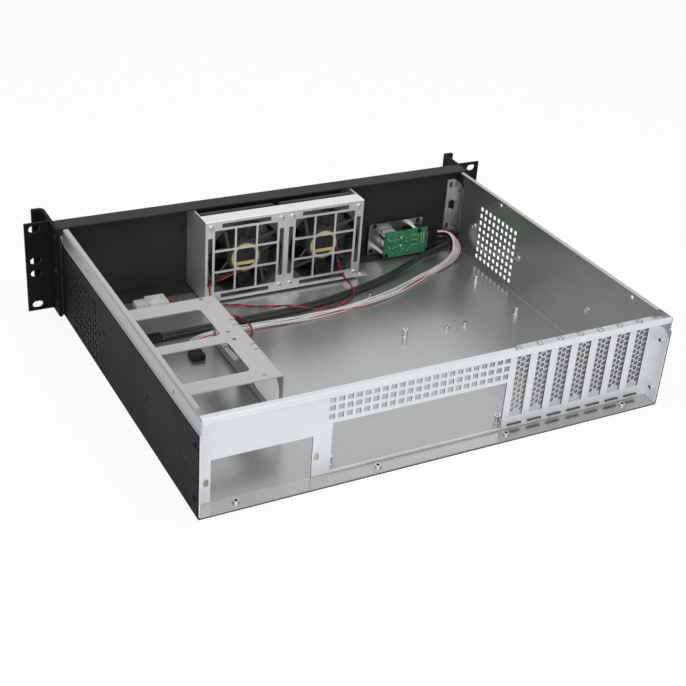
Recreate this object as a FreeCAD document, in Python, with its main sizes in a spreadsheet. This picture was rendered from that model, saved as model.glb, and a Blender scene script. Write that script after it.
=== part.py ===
import FreeCAD, Part
import math
import os
import re
import Sketcher
from FreeCAD import Vector

# Open rackmount server case, two rack units high, with its cover off.
# Lengths are millimetres. Every piece is drawn in the case's datum frame: X across the case, Y from the
# rear face of the rack ears towards the rear, Z up from the underside. The finished pieces are moved along
# Y so that the origin lies under the middle of the whole case.

doc = FreeCAD.newDocument("RackCase")
sheet = doc.addObject("Spreadsheet::Sheet", "Sizes")

# Driving sizes

SIZES = {
    # whole case
    "rack_width": 482.6,
    "rack_height": 88.0,
    "case_depth": 348.2,
    "grip_reach": 31.5,
    # tub
    "tub_width": 427.8,
    "tub_height": 87.4,
    "sheet_thick": 1.0,
    "bend_inner": 1.0,
    "wall_front": 19.5,
    "rim_start": 75.0,
    "rim_shift": 1.5,
    "rim_flange": 5.4,
    "rim_gap": 0.3,
    "vent_side": 5.0,
    "vent_pitch": 7.5,
    "vent_columns": 9,
    "vent_rows": 8,
    "vent_front": 56.8,
    "vent_low": 8.8,
    "slide_height": 38.0,
    "slide_hole_radius": 2.0,
    "slide_middle": 182.9,
    "slide_inner_span": 113.5,
    "slide_outer_span": 273.0,
    "cover_hole_front": 90.0,
    "cover_hole_rear": 296.0,
    "cover_hole_height": 80.0,
    # screws
    "screw_hole": 1.7,
    "screw_shank": 1.5,
    "screw_head": 2.8,
    "screw_head_height": 1.6,
    "screw_length": 4.0,
    "fan_screw_length": 6.0,
    # rear panel
    "rear_recess": 13.9,
    "rear_edge_gap": 0.4,
    "side_flange_top": 73.0,
    "side_flange_chamfer": 8.0,
    "shelf_top": 81.7,
    "lip_end_gap": 0.2,
    "io_left": 98.95,
    "io_width": 158.75,
    "io_low": 4.2,
    "io_height": 44.45,
    "rear_vent_left": 100.3,
    "rear_vent_low": 54.6,
    "rear_vent_columns": 22,
    "rear_vent_rows": 3,
    "supply_left": 198.4,
    "supply_width": 83.3,
    "supply_top": 40.4,
    "supply_oval_offset": 3.6,
    "supply_oval_height": 20.6,
    "supply_oval_half": 1.5,
    "supply_oval_radius": 2.0,
    "rear_screw_left": 180.2,
    "rear_screw_pitch": 120.93,
    "rear_screw_set": 7.7,
    "rear_side_screw_low": 14.2,
    "rear_side_screw_high": 61.3,
    # expansion slots
    "slot_count": 7,
    "slot_first": -73.0,
    "slot_pitch": 20.32,
    "slot_opening": 13.0,
    "slot_opening_low": 13.7,
    "slit_width": 15.0,
    "slit_height": 6.0,
    "slit_opening": 1.6,
    "cover_width": 18.4,
    "tongue_width": 12.6,
    "tongue_top": 11.0,
    "tongue_reach": 2.0,
    "tab_reach": 9.6,
    "tab_side": 10.6,
    "slot_screw_side": 9.5,
    "slot_screw_reach": 3.6,
    # front panel
    "panel_thick": 1.2,
    "panel_flange": 17.0,
    "panel_side_flange": 19.2,
    "panel_low_flange": 18.5,
    "grille_slot": 5.0,
    "grille_pitch": 8.2,
    "grille_rows": 8,
    "grille_width": 62.0,
    # rack ears with grips
    "leg_thick": 3.0,
    "leg_rear": 19.4,
    "ear_thick": 2.4,
    "grip_thick": 4.6,
    "grip_curl": 9.0,
    "grip_round": 5.0,
    "grip_edge": 1.9,
    "ear_hole_span": 465.1,
    "ear_hole_low": 5.9,
    "ear_hole_step": 31.75,
    "ear_hole_gap": 12.7,
    "ear_slot_length": 10.0,
    "ear_slot_radius": 3.5,
    "ear_screw_set": 15.8,
    "ear_screw_low": 13.6,
    "ear_screw_middle": 46.3,
    "ear_screw_high": 79.9,
    # corner brackets
    "corner_low": 13.5,
    "corner_high": 72.5,
    "corner_front": 9.0,
    "corner_side": 18.6,
    "corner_cut_low": 38.0,
    "corner_cut_high": 49.0,
    "corner_cut_depth": 5.0,
    "corner_slot": 3.0,
    "corner_slant": 5.6,
    "corner_cut_slant": 2.0,
    "corner_slot_along": 12.0,
    # fans and their cage
    "fan_side": 80.0,
    "fan_deep": 25.0,
    "fan_hole_span": 71.5,
    "fan_bore": 38.0,
    "fan_corner": 4.0,
    "fan_flange": 4.0,
    "fan_ring": 39.4,
    "fan_height": 44.7,
    "fan_left": 44.6,
    "fan_right": -38.3,
    "stator_radius": 16.0,
    "stator_deep": 3.5,
    "stator_set": 0.6,
    "strut_count": 4,
    "strut_width": 3.0,
    "strut_deep": 1.6,
    "notch_near": 29.0,
    "notch_low": 27.0,
    "notch_high": 19.0,
    "strut_offset": 13.5,
    "strut_turn": 13.0,
    "strut_bury": 0.4,
    "rotor_radius": 17.0,
    "rotor_deep": 18.0,
    "rotor_gap": 0.4,
    "blade_count": 7,
    "blade_tip_gap": 0.9,
    "blade_chord": 23.0,
    "blade_pitch": 48.0,
    "blade_thick": 1.4,
    "blade_root": 13.6,
    "blade_crown": 2.34,
    "shaft_radius": 1.5,
    "shaft_gap": 0.05,
    "shaft_in": 2.4,
    "label_radius": 14.5,
    "label_thick": 0.3,
    "cage_rear": 46.5,
    "cage_left": 86.1,
    "cage_right": -79.4,
    "cage_top": 86.6,
    "cage_low": 3.0,
    "cage_flange": 15.0,
    "window_side": 64.0,
    "window_bar": 2.0,
    "window_bar_offset": 10.9,
    "cage_slot_length": 50.0,
    "cage_slot_width": 4.5,
    "cage_slot_offset": 34.3,
    "foot_out": 12.0,
    "foot_front": 32.6,
    "foot_rear": 42.7,
    "foot_screw_out": 6.4,
    # drive bracket
    "bracket_edge": 105.0,
    "bracket_front": 116.0,
    "bracket_rear": 260.5,
    "bracket_top": 50.0,
    "bracket_flange": 10.0,
    "bracket_foot": 9.0,
    "bracket_screw_front": 138.0,
    "bracket_screw_rear": 243.5,
    "bracket_screw_height": 45.0,
    "foot_hole_front": 130.0,
    "foot_hole_rear": 246.0,
    "drive_hole_right": 119.5,
    "drive_hole_across": 76.6,
    "drive_hole_along": 61.7,
    "drive_hole_first": 118.5,
    "drive_pitch": 74.4,
    "drive_window_right": 127.0,
    "drive_window_left": 190.0,
    "drive_window_first": 134.7,
    "drive_window_along": 48.5,
    "drive_window_pitch": 60.8,
    "drive_window_corner": 4.0,
    "arch_first": 120.5,
    "arch_along": 52.0,
    "arch_pitch": 82.0,
    "arch_low": 9.5,
    "arch_high": 42.0,
    "arch_corner": 12.0,
    "tie_slot_set": 3.8,
    "tie_slot_along": 31.5,
    "tie_slot_long": 4.5,
    "tie_slot_wide": 1.4,
    # control board and its plate
    "plate_set": 5.5,
    "plate_left": -111.4,
    "plate_right": -175.1,
    "plate_low": 2.7,
    "plate_high": 36.9,
    "plate_corner": 1.5,
    "plate_hole_set": 6.2,
    "plate_hole_drop": 2.5,
    "plate_low_hole_set": 4.0,
    "plate_low_hole_rise": 4.5,
    "plate_side_hole_drop": 11.2,
    "plate_window_gap": 1.0,
    "board_set": 22.7,
    "board_thick": 1.6,
    "board_left": -120.8,
    "board_right": -170.6,
    "board_low": 5.6,
    "board_high": 34.0,
    "board_hole_set": 2.7,
    "board_far_hole_set": 10.0,
    "port_side": -132.5,
    "port_low": 17.0,
    "port_pitch": 9.6,
    "port_width": 13.1,
    "port_height": 5.7,
    "port_wall": 0.5,
    "port_out": 0.5,
    "port_gap": 0.4,
    "port_hollow_end": 9.1,
    "port_tongue": 2.0,
    "port_tongue_gap": 1.2,
    "button_side": -155.0,
    "power_height": 26.0,
    "reset_height": 13.0,
    "power_radius": 3.0,
    "reset_radius": 1.6,
    "button_gap": 0.15,
    "button_travel": 0.8,
    "button_out": 1.0,
    "button_cap_deep": 4.2,
    "plunger_room": 0.2,
    "switch_side": 6.0,
    "switch_deep": 4.0,
    "plunger_radius": 1.4,
    "plunger_in": 1.6,
    "light_side": -164.6,
    "light_low": 10.6,
    "light_pitch": 7.7,
    "light_radius": 1.5,
    # board standoffs on the floor
    "standoff_height": 8.0,
    "standoff_radius": 3.0,
    "standoff_bore": 1.5,
    "standoff_deep": 6.0,
    "standoff_column": -64.6,
    "standoff_left": 157.48,
    "standoff_right": 124.46,
    "standoff_row": 167.2,
    "standoff_rear": 154.94,
    "standoff_front": 72.39,
    "floor_stud_height": 3.0,
    "floor_stud_radius": 2.2,
    "stud_near": -110.3,
    "stud_far": -130.6,
    "stud_front_side": -72.5,
    "stud_front_row": 84.6,
    # leads
    "usb_lead_radius": 2.25,
    "ribbon_radius": 2.6,
    "fan_lead_radius": 1.2,
    "lead_bend_share": 0.45,
    # plugs
    "header_left": -166.9,
    "header_right": -174.6,
    "header_deep": 5.2,
    "header_low": 9.2,
    "header_plug_long": 9.9,
    "header_plug_wide": 5.1,
    "header_plug_high": 5.5,
    "header_plug_pitch": 6.1,
    "usb_plug_right": 146.0,
    "usb_plug_long": 14.0,
    "usb_plug_front": 88.1,
    "usb_plug_pitch": 5.2,
    "usb_plug_wide": 5.0,
    "usb_plug_high": 6.0,
    "ribbon_plug_right": 122.6,
    "ribbon_plug_long": 12.8,
    "ribbon_plug_front": 127.0,
    "ribbon_plug_wide": 14.0,
    "ribbon_plug_high": 5.4,
    "fan_plug_right": 82.0,
    "fan_plug_long": 13.0,
    "fan_plug_front": 122.4,
    "fan_plug_wide": 9.2,
    "fan_plug_high": 6.4,
    "tag_plug_right": 118.8,
    "tag_plug_long": 31.2,
    "tag_plug_front": 22.4,
    "tag_plug_wide": 18.0,
    "tag_plug_high": 9.0,
}

for row, (alias, size) in enumerate(SIZES.items(), 1):
    sheet.set(f"A{row}", alias)
    sheet.set(f"B{row}", str(size))
    sheet.setAlias(f"B{row}", alias)
doc.recompute()


# Expressions on the sheet

def q(expression):
    """Write an expression of size names as one that reads the sheet."""
    def on_sheet(word):
        return f"Sizes.{word[0]}" if word[0] in SIZES else word[0]

    return re.sub(r"[A-Za-z_]\w*", on_sheet, expression)


def num(expression):
    """Give the number that an expression of size names has now."""
    result = sheet.evalExpression(q(expression))
    return float(getattr(result, "Value", result))


def bind(obj, prop, expression):
    obj.setExpression(prop, q(expression))


# Places that several pieces share

DATUM = "-(case_depth-grip_reach)/2"
HALF = "(tub_width/2)"
WALL_IN = "(tub_width/2-sheet_thick)"
RIM_OUT = "(tub_width/2-rim_shift)"
RIM_IN = "(tub_width/2-rim_shift-sheet_thick)"
FLANGE_EDGE = "(tub_width/2-rim_shift-rim_flange)"
FLOOR = "sheet_thick"
BEND_OUTER = "(bend_inner+sheet_thick)"
REAR_FACE = "(case_depth-rear_recess)"
REAR_INNER = "(case_depth-rear_recess-sheet_thick)"
REAR_EDGE = "(case_depth-rear_edge_gap)"
REAR_SCREW = "(case_depth-rear_screw_set)"
PANEL_HALF = "(tub_width/2+panel_thick)"
EAR_HALF = "(rack_width/2)"
CAGE_IN = "(cage_rear-sheet_thick)"
FAN_FRONT = "(cage_rear-sheet_thick-fan_deep)"
STATOR_REAR = "(cage_rear-sheet_thick-stator_set)"
STATOR_FRONT = "(cage_rear-sheet_thick-stator_set-stator_deep)"
BRACKET_WALL_IN = "(bracket_edge+sheet_thick)"
PLATE_REAR = "(plate_set+sheet_thick)"
FANS = {"1": "fan_left", "2": "fan_right"}
SIDES = {"left": "", "right": "-"}


# Drawing helpers

PLANES = {"XY": "XY_Plane", "XZ": "XZ_Plane", "YZ": "YZ_Plane"}
HEXAGON_SIDES = 6
LEAD_SIDES = 4
CAP_SIDES = 16
HUB_SIDES = 24
BORE_SIDES = 36
NEARLY_PARALLEL = 0.999
SAME_PLACE = 0.02


def new_body(name):
    body = doc.addObject("PartDesign::Body", name)
    body.Label = name
    bind(body, "Placement.Base.y", DATUM)
    return body


def new_sketch(body, name, plane, at="0"):
    """Start a sketch parallel to an origin plane of the body, at a distance along that plane's axis."""
    sketch = body.newObject("Sketcher::SketchObject", name)
    origin_plane = [item for item in body.Origin.OriginFeatures if item.Role == PLANES[plane]][0]
    sketch.AttachmentSupport = [(origin_plane, "")]
    sketch.MapMode = "FlatFace"
    sign = "-" if plane == "XZ" else ""
    bind(sketch, "AttachmentOffset.Base.z", f"{sign}({at})")
    return sketch


def fix_point(sketch, geometry, point, across, up):
    """Hold one point of a sketch at two distances from the sketch's origin."""
    for kind, expression in (("DistanceX", across), ("DistanceY", up)):
        index = sketch.addConstraint(Sketcher.Constraint(kind, -1, 1, geometry, point, num(expression)))
        bind(sketch, f"Constraints[{index}]", expression)


def outline(sketch, points):
    """Draw a closed outline of straight lines through points given as pairs of expressions."""
    places = [Vector(num(across), num(up), 0) for across, up in points]
    count = len(points)
    after = [(i + 1) % count for i in range(count)]
    first = sketch.GeometryCount
    sketch.addGeometry([Part.LineSegment(places[i], places[after[i]]) for i in range(count)], False)
    joins = [Sketcher.Constraint("Coincident", first + i, 2, first + after[i], 1) for i in range(count)]
    sketch.addConstraint(joins)
    for i, (across, up) in enumerate(points):
        fix_point(sketch, first + i, 1, across, up)


def rectangle(sketch, left, right, low, high):
    outline(sketch, [(left, low), (right, low), (right, high), (left, high)])


def centred(sketch, across, up, width, height):
    rectangle(sketch, f"{across}-({width})/2", f"{across}+({width})/2",
              f"{up}-({height})/2", f"{up}+({height})/2")


def hexagon(sketch, across, up, radius):
    """Draw a small screw hole as a hexagon that a round screw of this radius passes."""
    half_turn = 180 / HEXAGON_SIDES
    reach = f"({radius})/cos({half_turn} deg)"
    corners = []
    for corner in range(HEXAGON_SIDES):
        angle = f"{(2 * corner + 1) * half_turn} deg"
        corners.append((f"{across}+{reach}*cos({angle})", f"{up}+{reach}*sin({angle})"))
    outline(sketch, corners)


def circle(sketch, across, up, radius):
    shape = Part.Circle(Vector(num(across), num(up), 0), Vector(0, 0, 1), num(radius))
    index = sketch.addGeometry(shape, False)
    fix_point(sketch, index, 3, across, up)
    size = sketch.addConstraint(Sketcher.Constraint("Radius", index, num(radius)))
    bind(sketch, f"Constraints[{size}]", radius)


def obround(sketch, across, up, half, radius, upright=False):
    """Draw a slot with round ends: its two end centres lie half a length each way from its middle."""
    middle = Vector(num(across), num(up), 0)
    along = Vector(0, 1, 0) if upright else Vector(1, 0, 0)
    side = Vector(-1, 0, 0) if upright else Vector(0, 1, 0)
    turn = math.pi / 2 if upright else 0.0
    reach = along * num(half)
    width = side * num(radius)
    normal = Vector(0, 0, 1)
    first = sketch.GeometryCount
    far = Part.Circle(middle + reach, normal, num(radius))
    near = Part.Circle(middle - reach, normal, num(radius))
    sketch.addGeometry([
        Part.ArcOfCircle(far, turn - math.pi / 2, turn + math.pi / 2),
        Part.LineSegment(middle + reach + width, middle - reach + width),
        Part.ArcOfCircle(near, turn + math.pi / 2, turn + 3 * math.pi / 2),
        Part.LineSegment(middle - reach - width, middle + reach - width),
    ], False)
    for i in range(4):
        sketch.addConstraint(Sketcher.Constraint("Tangent", first + i, 2, first + (i + 1) % 4, 1))
    shift = ("0", half) if upright else (half, "0")
    fix_point(sketch, first, 3, f"{across}+({shift[0]})", f"{up}+({shift[1]})")
    fix_point(sketch, first + 2, 3, f"{across}-({shift[0]})", f"{up}-({shift[1]})")
    size = sketch.addConstraint(Sketcher.Constraint("Radius", first, num(radius)))
    bind(sketch, f"Constraints[{size}]", radius)


def faces_front(sketch):
    """Tell whether a sketch lies on the XZ plane, whose normal points to the front of the case."""
    return sketch.AttachmentSupport[0][0].Role == PLANES["XZ"]


def pad(body, name, sketch, length):
    """Extrude a sketch towards the positive side of its axis."""
    feature = body.newObject("PartDesign::Pad", name)
    feature.Profile = sketch
    feature.Reversed = faces_front(sketch)
    bind(feature, "Length", length)
    return feature


def cut(body, name, sketch, length=None):
    """Cut a sketch through towards the positive side of its axis, or to a stated depth."""
    feature = body.newObject("PartDesign::Pocket", name)
    feature.Profile = sketch
    feature.Reversed = not faces_front(sketch)
    if length is None:
        feature.Type = 1
    else:
        bind(feature, "Length", length)
    return feature


def prism_on(body, name, kind, sides, rear, radius, length):
    """Add or subtract a many-sided prism round the body's Y axis, from its rear end to the front."""
    feature = body.newObject(f"PartDesign::{kind}Prism", name)
    origin_plane = [item for item in body.Origin.OriginFeatures if item.Role == PLANES["XZ"]][0]
    feature.AttachmentSupport = [(origin_plane, "")]
    feature.MapMode = "FlatFace"
    feature.Polygon = sides
    bind(feature, "AttachmentOffset.Base.z", f"-({rear})")
    bind(feature, "Circumradius", radius)
    bind(feature, "Height", length)
    body.Tip = feature
    return feature


def cut_both_ways(body, name, sketch):
    """Cut a sketch through everything on both sides of its plane."""
    feature = body.newObject("PartDesign::Pocket", name)
    feature.Profile = sketch
    feature.Type = 1
    feature.Midplane = True
    return feature


def linear(body, name, sketch, axis, pitch, count, back=False):
    feature = body.newObject("PartDesign::LinearPattern", name)
    feature.Direction = (sketch, [axis])
    feature.Mode = "Spacing"
    feature.Reversed = back
    bind(feature, "Offset", pitch)
    bind(feature, "Occurrences", count)
    return feature


def all_round(body, name, original, sketch, count):
    """Repeat a feature evenly all round the middle of a sketch."""
    feature = body.newObject("PartDesign::PolarPattern", name)
    feature.Originals = [original]
    feature.Axis = (sketch, ["N_Axis"])
    feature.Angle = 360
    bind(feature, "Occurrences", count)
    body.Tip = feature
    return feature


def row_of(body, name, original, sketch, axis, pitch, count, back=False):
    feature = linear(body, name, sketch, axis, pitch, count, back)
    feature.Originals = [original]
    body.Tip = feature
    return feature


def grid_of(body, name, original, sketch, pitch, columns, rows, back=False):
    """Repeat a cut in columns and rows of one pitch."""
    feature = body.newObject("PartDesign::MultiTransform", name)
    along = linear(body, f"{name}_columns", sketch, "H_Axis", pitch, columns, back)
    upward = linear(body, f"{name}_rows", sketch, "V_Axis", pitch, rows)
    feature.Originals = [original]
    feature.Transformations = [along, upward]
    body.Tip = feature
    return feature


def edges_along(shape, axis, spots):
    """Name the straight edges parallel to an axis whose other two coordinates match one of the spots."""
    directions = {"X": Vector(1, 0, 0), "Y": Vector(0, 1, 0), "Z": Vector(0, 0, 1)}
    others = {"X": ("y", "z"), "Y": ("x", "z"), "Z": ("x", "y")}[axis]
    wanted = [(num(a), num(b)) for a, b in spots]
    names = []
    for index, edge in enumerate(shape.Edges, 1):
        if not isinstance(edge.Curve, Part.Line):
            continue
        if abs(edge.Curve.Direction.dot(directions[axis])) < NEARLY_PARALLEL:
            continue
        place = edge.CenterOfMass
        here = (getattr(place, others[0]), getattr(place, others[1]))
        if any(math.dist(here, spot) < SAME_PLACE for spot in wanted):
            names.append(f"Edge{index}")
    if not names:
        raise RuntimeError(f"no edge found along {axis} at {wanted}")
    return names


def round_off(body, name, axis, spots, radius):
    """Round the edges of a body that run along an axis through the stated spots."""
    doc.recompute()
    base = body.Tip
    feature = body.newObject("PartDesign::Fillet", name)
    feature.Base = (base, edges_along(base.Shape, axis, spots))
    bind(feature, "Radius", radius)
    return feature


def chamfer_off(body, name, axis, spots, size):
    doc.recompute()
    base = body.Tip
    feature = body.newObject("PartDesign::Chamfer", name)
    feature.Base = (base, edges_along(base.Shape, axis, spots))
    bind(feature, "Size", size)
    return feature


def box(name, left, right, front, rear, low, high):
    """Make a block between six expressions, already moved to the case's origin."""
    block = doc.addObject("Part::Box", name)
    bind(block, "Length", f"({right})-({left})")
    bind(block, "Width", f"({rear})-({front})")
    bind(block, "Height", f"({high})-({low})")
    bind(block, "Placement.Base.x", left)
    bind(block, "Placement.Base.y", f"({front})+({DATUM})")
    bind(block, "Placement.Base.z", low)
    return block


def lay_along(bar, across, front, up, length):
    """Lay a bar along Y from its front end, already moved to the case's origin."""
    bar.Placement = FreeCAD.Placement(Vector(0, 0, 0), FreeCAD.Rotation(Vector(0, 0, 1), Vector(0, 1, 0)))
    bind(bar, "Height", length)
    bind(bar, "Placement.Base.x", across)
    bind(bar, "Placement.Base.y", f"({front})+({DATUM})")
    bind(bar, "Placement.Base.z", up)
    return bar


def prism_bar(name, sides, across, front, up, radius, length):
    bar = doc.addObject("Part::Prism", name)
    bar.Polygon = sides
    bind(bar, "Circumradius", radius)
    return lay_along(bar, across, front, up, length)


def shaped(name, shape):
    """Keep a shape worked out in code, moved to the case's origin with the other pieces."""
    item = doc.addObject("Part::Feature", name)
    item.Shape = shape
    bind(item, "Placement.Base.y", DATUM)
    return item


def cut_from(name, solid, tool):
    item = doc.addObject("Part::Cut", name)
    item.Base = solid
    item.Tool = tool
    return item


def joined(name, parts):
    item = doc.addObject("Part::MultiFuse", name)
    item.Shapes = parts
    item.Refine = True
    return item


def group(name, parts):
    """Keep separate solids of one kind in one node."""
    item = doc.addObject("Part::Compound", name)
    item.Links = parts
    return item


nodes = []


def keep(item, name):
    item.Label = name
    nodes.append(item)
    return item


# Chassis tub: floor and side walls folded from one sheet

def cage_foot_holes(sketch):
    for across in ("cage_left+foot_screw_out", "cage_right-foot_screw_out"):
        hexagon(sketch, across, "(foot_front+foot_rear)/2", "screw_hole")


def chassis_tub():
    body = new_body("chassis_tub")
    knee = "(sheet_thick*tan(45 deg/2))"
    right = [
        (HALF, "0"),
        (HALF, "rim_start-rim_shift"),
        (RIM_OUT, "rim_start"),
        (RIM_OUT, "tub_height"),
        (FLANGE_EDGE, "tub_height"),
        (FLANGE_EDGE, "tub_height-sheet_thick"),
        (RIM_IN, "tub_height-sheet_thick"),
        (RIM_IN, f"rim_start-{knee}"),
        (WALL_IN, f"rim_start-rim_shift-{knee}"),
        (WALL_IN, FLOOR),
    ]
    left = [(f"-{across}", up) for across, up in reversed(right)]
    section = new_sketch(body, "tub_section", "XZ", "wall_front")
    outline(section, right + left)
    pad(body, "tub_walls", section, "case_depth-wall_front")
    apron = new_sketch(body, "apron_outline", "XY", "0")
    rectangle(apron, f"-({HALF}-{BEND_OUTER})", f"{HALF}-{BEND_OUTER}", "0", "wall_front")
    pad(body, "floor_apron", apron, "sheet_thick")
    outer = [(f"{side}{HALF}", "0") for side in SIDES.values()]
    outer += [(f"{side}{RIM_OUT}", "tub_height") for side in SIDES.values()]
    round_off(body, "outer_bends", "Y", outer, BEND_OUTER)
    inner = [(f"{side}{WALL_IN}", FLOOR) for side in SIDES.values()]
    inner += [(f"{side}{RIM_IN}", "tub_height-sheet_thick") for side in SIDES.values()]
    round_off(body, "inner_bends", "Y", inner, "bend_inner")
    relief = new_sketch(body, "rim_relief", "XZ", f"{REAR_INNER}-rim_gap")
    low = f"tub_height-{BEND_OUTER}"
    rectangle(relief, f"{FLANGE_EDGE}-1", RIM_IN, low, "tub_height+1")
    rectangle(relief, f"-{RIM_IN}", f"1-{FLANGE_EDGE}", low, "tub_height+1")
    cut(body, "rim_relief_cut", relief)
    screws = new_sketch(body, "wall_holes", "YZ", "0")
    for span in ("slide_inner_span", "slide_outer_span"):
        for sign in ("-", "+"):
            circle(screws, f"slide_middle{sign}{span}/2", "slide_height", "slide_hole_radius")
    for place in ("cover_hole_front", "cover_hole_rear"):
        hexagon(screws, place, "cover_hole_height", "screw_hole")
    for height in ("rear_side_screw_low", "rear_side_screw_high"):
        hexagon(screws, REAR_SCREW, height, "screw_hole")
    cut_both_ways(body, "wall_hole_cut", screws)
    drive = new_sketch(body, "drive_bracket_holes", "YZ", WALL_IN)
    for place in ("bracket_screw_front", "bracket_screw_rear"):
        hexagon(drive, place, "bracket_screw_height", "screw_hole")
    cut(body, "drive_bracket_hole_cut", drive, "sheet_thick")
    floor = new_sketch(body, "floor_holes", "XY", "0")
    for index in range(4):
        hexagon(floor, f"rear_screw_left-{index}*rear_screw_pitch", REAR_SCREW, "screw_hole")
    for place in ("foot_hole_front", "foot_hole_rear"):
        hexagon(floor, "bracket_edge-bracket_foot/2", place, "screw_hole")
    cage_foot_holes(floor)
    cut(body, "floor_hole_cut", floor, "sheet_thick")
    vent = new_sketch(body, "vent_square", "YZ", "0")
    centred(vent, "vent_front", "vent_low", "vent_side", "vent_side")
    vent_cut = cut_both_ways(body, "vent_cut", vent)
    grid_of(body, "vent_grid", vent_cut, vent, "vent_pitch", "vent_columns", "vent_rows")
    keep(body, "chassis_tub")


# Rear panel: one sheet with a recessed face, a shelf and lip at its top, and flanges on three sides

def rear_panel():
    body = new_body("rear_panel")
    lip_half = f"({RIM_IN}-lip_end_gap)"
    lower = new_sketch(body, "face_section", "YZ", f"-{WALL_IN}")
    outline(lower, [
        (REAR_INNER, FLOOR),
        (REAR_EDGE, FLOOR),
        (REAR_EDGE, f"{FLOOR}+sheet_thick"),
        (REAR_FACE, f"{FLOOR}+sheet_thick"),
        (REAR_FACE, "side_flange_top"),
        (REAR_INNER, "side_flange_top"),
    ])
    pad(body, "face_and_foot", lower, f"2*{WALL_IN}")
    upper = new_sketch(body, "shelf_section", "YZ", f"-{lip_half}")
    outline(upper, [
        (REAR_INNER, "side_flange_top"),
        (REAR_FACE, "side_flange_top"),
        (REAR_FACE, "shelf_top-sheet_thick"),
        ("case_depth", "shelf_top-sheet_thick"),
        ("case_depth", "tub_height"),
        ("case_depth-sheet_thick", "tub_height"),
        ("case_depth-sheet_thick", "shelf_top"),
        (REAR_INNER, "shelf_top"),
    ])
    pad(body, "shelf_and_lip", upper, f"2*{lip_half}")
    for name, start in (("left", f"{WALL_IN}-sheet_thick"), ("right", f"-{WALL_IN}")):
        flange = new_sketch(body, f"{name}_flange_outline", "YZ", start)
        outline(flange, [
            (REAR_FACE, f"{FLOOR}+sheet_thick"),
            (REAR_EDGE, f"{FLOOR}+sheet_thick"),
            (REAR_EDGE, "side_flange_top-side_flange_chamfer"),
            (f"{REAR_EDGE}-side_flange_chamfer", "side_flange_top"),
            (REAR_FACE, "side_flange_top"),
        ])
        pad(body, f"{name}_flange", flange, "sheet_thick")
    feet = [(f"{side}{WALL_IN}", FLOOR) for side in SIDES.values()]
    chamfer_off(body, "foot_corners", "Y", feet, "bend_inner+rim_gap")
    round_off(body, "outer_bends", "X", [
        (REAR_INNER, "shelf_top"),
        ("case_depth", "shelf_top-sheet_thick"),
    ], BEND_OUTER)
    round_off(body, "inner_bends", "X", [
        (REAR_FACE, "shelf_top-sheet_thick"),
        ("case_depth-sheet_thick", "shelf_top"),
    ], "bend_inner")
    round_off(body, "lip_round", "X", [("case_depth", "tub_height")], "2*sheet_thick/3")
    openings = new_sketch(body, "opening_outlines", "XZ", REAR_INNER)
    rectangle(openings, "io_left-io_width", "io_left", "io_low", "io_low+io_height")
    supply_right = "supply_left-supply_width"
    rectangle(openings, supply_right, "supply_left", f"{FLOOR}+sheet_thick", "supply_top")
    oval = ("supply_oval_height", "supply_oval_half", "supply_oval_radius")
    for across in ("supply_left+supply_oval_offset", f"{supply_right}-supply_oval_offset"):
        obround(openings, across, *oval, upright=True)
    cut(body, "opening_cut", openings)
    slot = new_sketch(body, "slot_outline", "XZ", REAR_INNER)
    rectangle(slot, "slot_first-slot_opening/2", "slot_first+slot_opening/2", "slot_opening_low",
              f"shelf_top-{BEND_OUTER}")
    centred(slot, "slot_first", "slit_height", "slit_width", "slit_opening")
    slot_cut = cut(body, "slot_cut", slot)
    row_of(body, "slot_row", slot_cut, slot, "H_Axis", "slot_pitch", "slot_count", back=True)
    vent = new_sketch(body, "vent_square", "XZ", REAR_INNER)
    centred(vent, "rear_vent_left", "rear_vent_low", "vent_side", "vent_side")
    vent_cut = cut(body, "vent_cut", vent)
    grid_of(body, "vent_grid", vent_cut, vent, "vent_pitch", "rear_vent_columns", "rear_vent_rows", True)
    shelf = new_sketch(body, "slot_screw_hole", "XY", "shelf_top-sheet_thick")
    hexagon(shelf, "slot_first+slot_screw_side", f"{REAR_FACE}+slot_screw_reach", "screw_hole")
    shelf_cut = cut(body, "slot_screw_cut", shelf, "sheet_thick")
    row_of(body, "slot_screw_row", shelf_cut, shelf, "H_Axis", "slot_pitch", "slot_count", back=True)
    foot = new_sketch(body, "foot_screw_hole", "XY", FLOOR)
    hexagon(foot, "rear_screw_left", REAR_SCREW, "screw_hole")
    foot_cut = cut(body, "foot_screw_cut", foot, "sheet_thick")
    row_of(body, "foot_screw_row", foot_cut, foot, "H_Axis", "rear_screw_pitch", "4", back=True)
    sides = new_sketch(body, "side_screw_holes", "YZ", "0")
    for height in ("rear_side_screw_low", "rear_side_screw_high"):
        hexagon(sides, REAR_SCREW, height, "screw_hole")
    cut_both_ways(body, "side_screw_cut", sides)
    keep(body, "rear_panel")


# Expansion slot covers: each a bent strip behind its slot, with a tongue in the slit and a tab on the shelf

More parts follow.
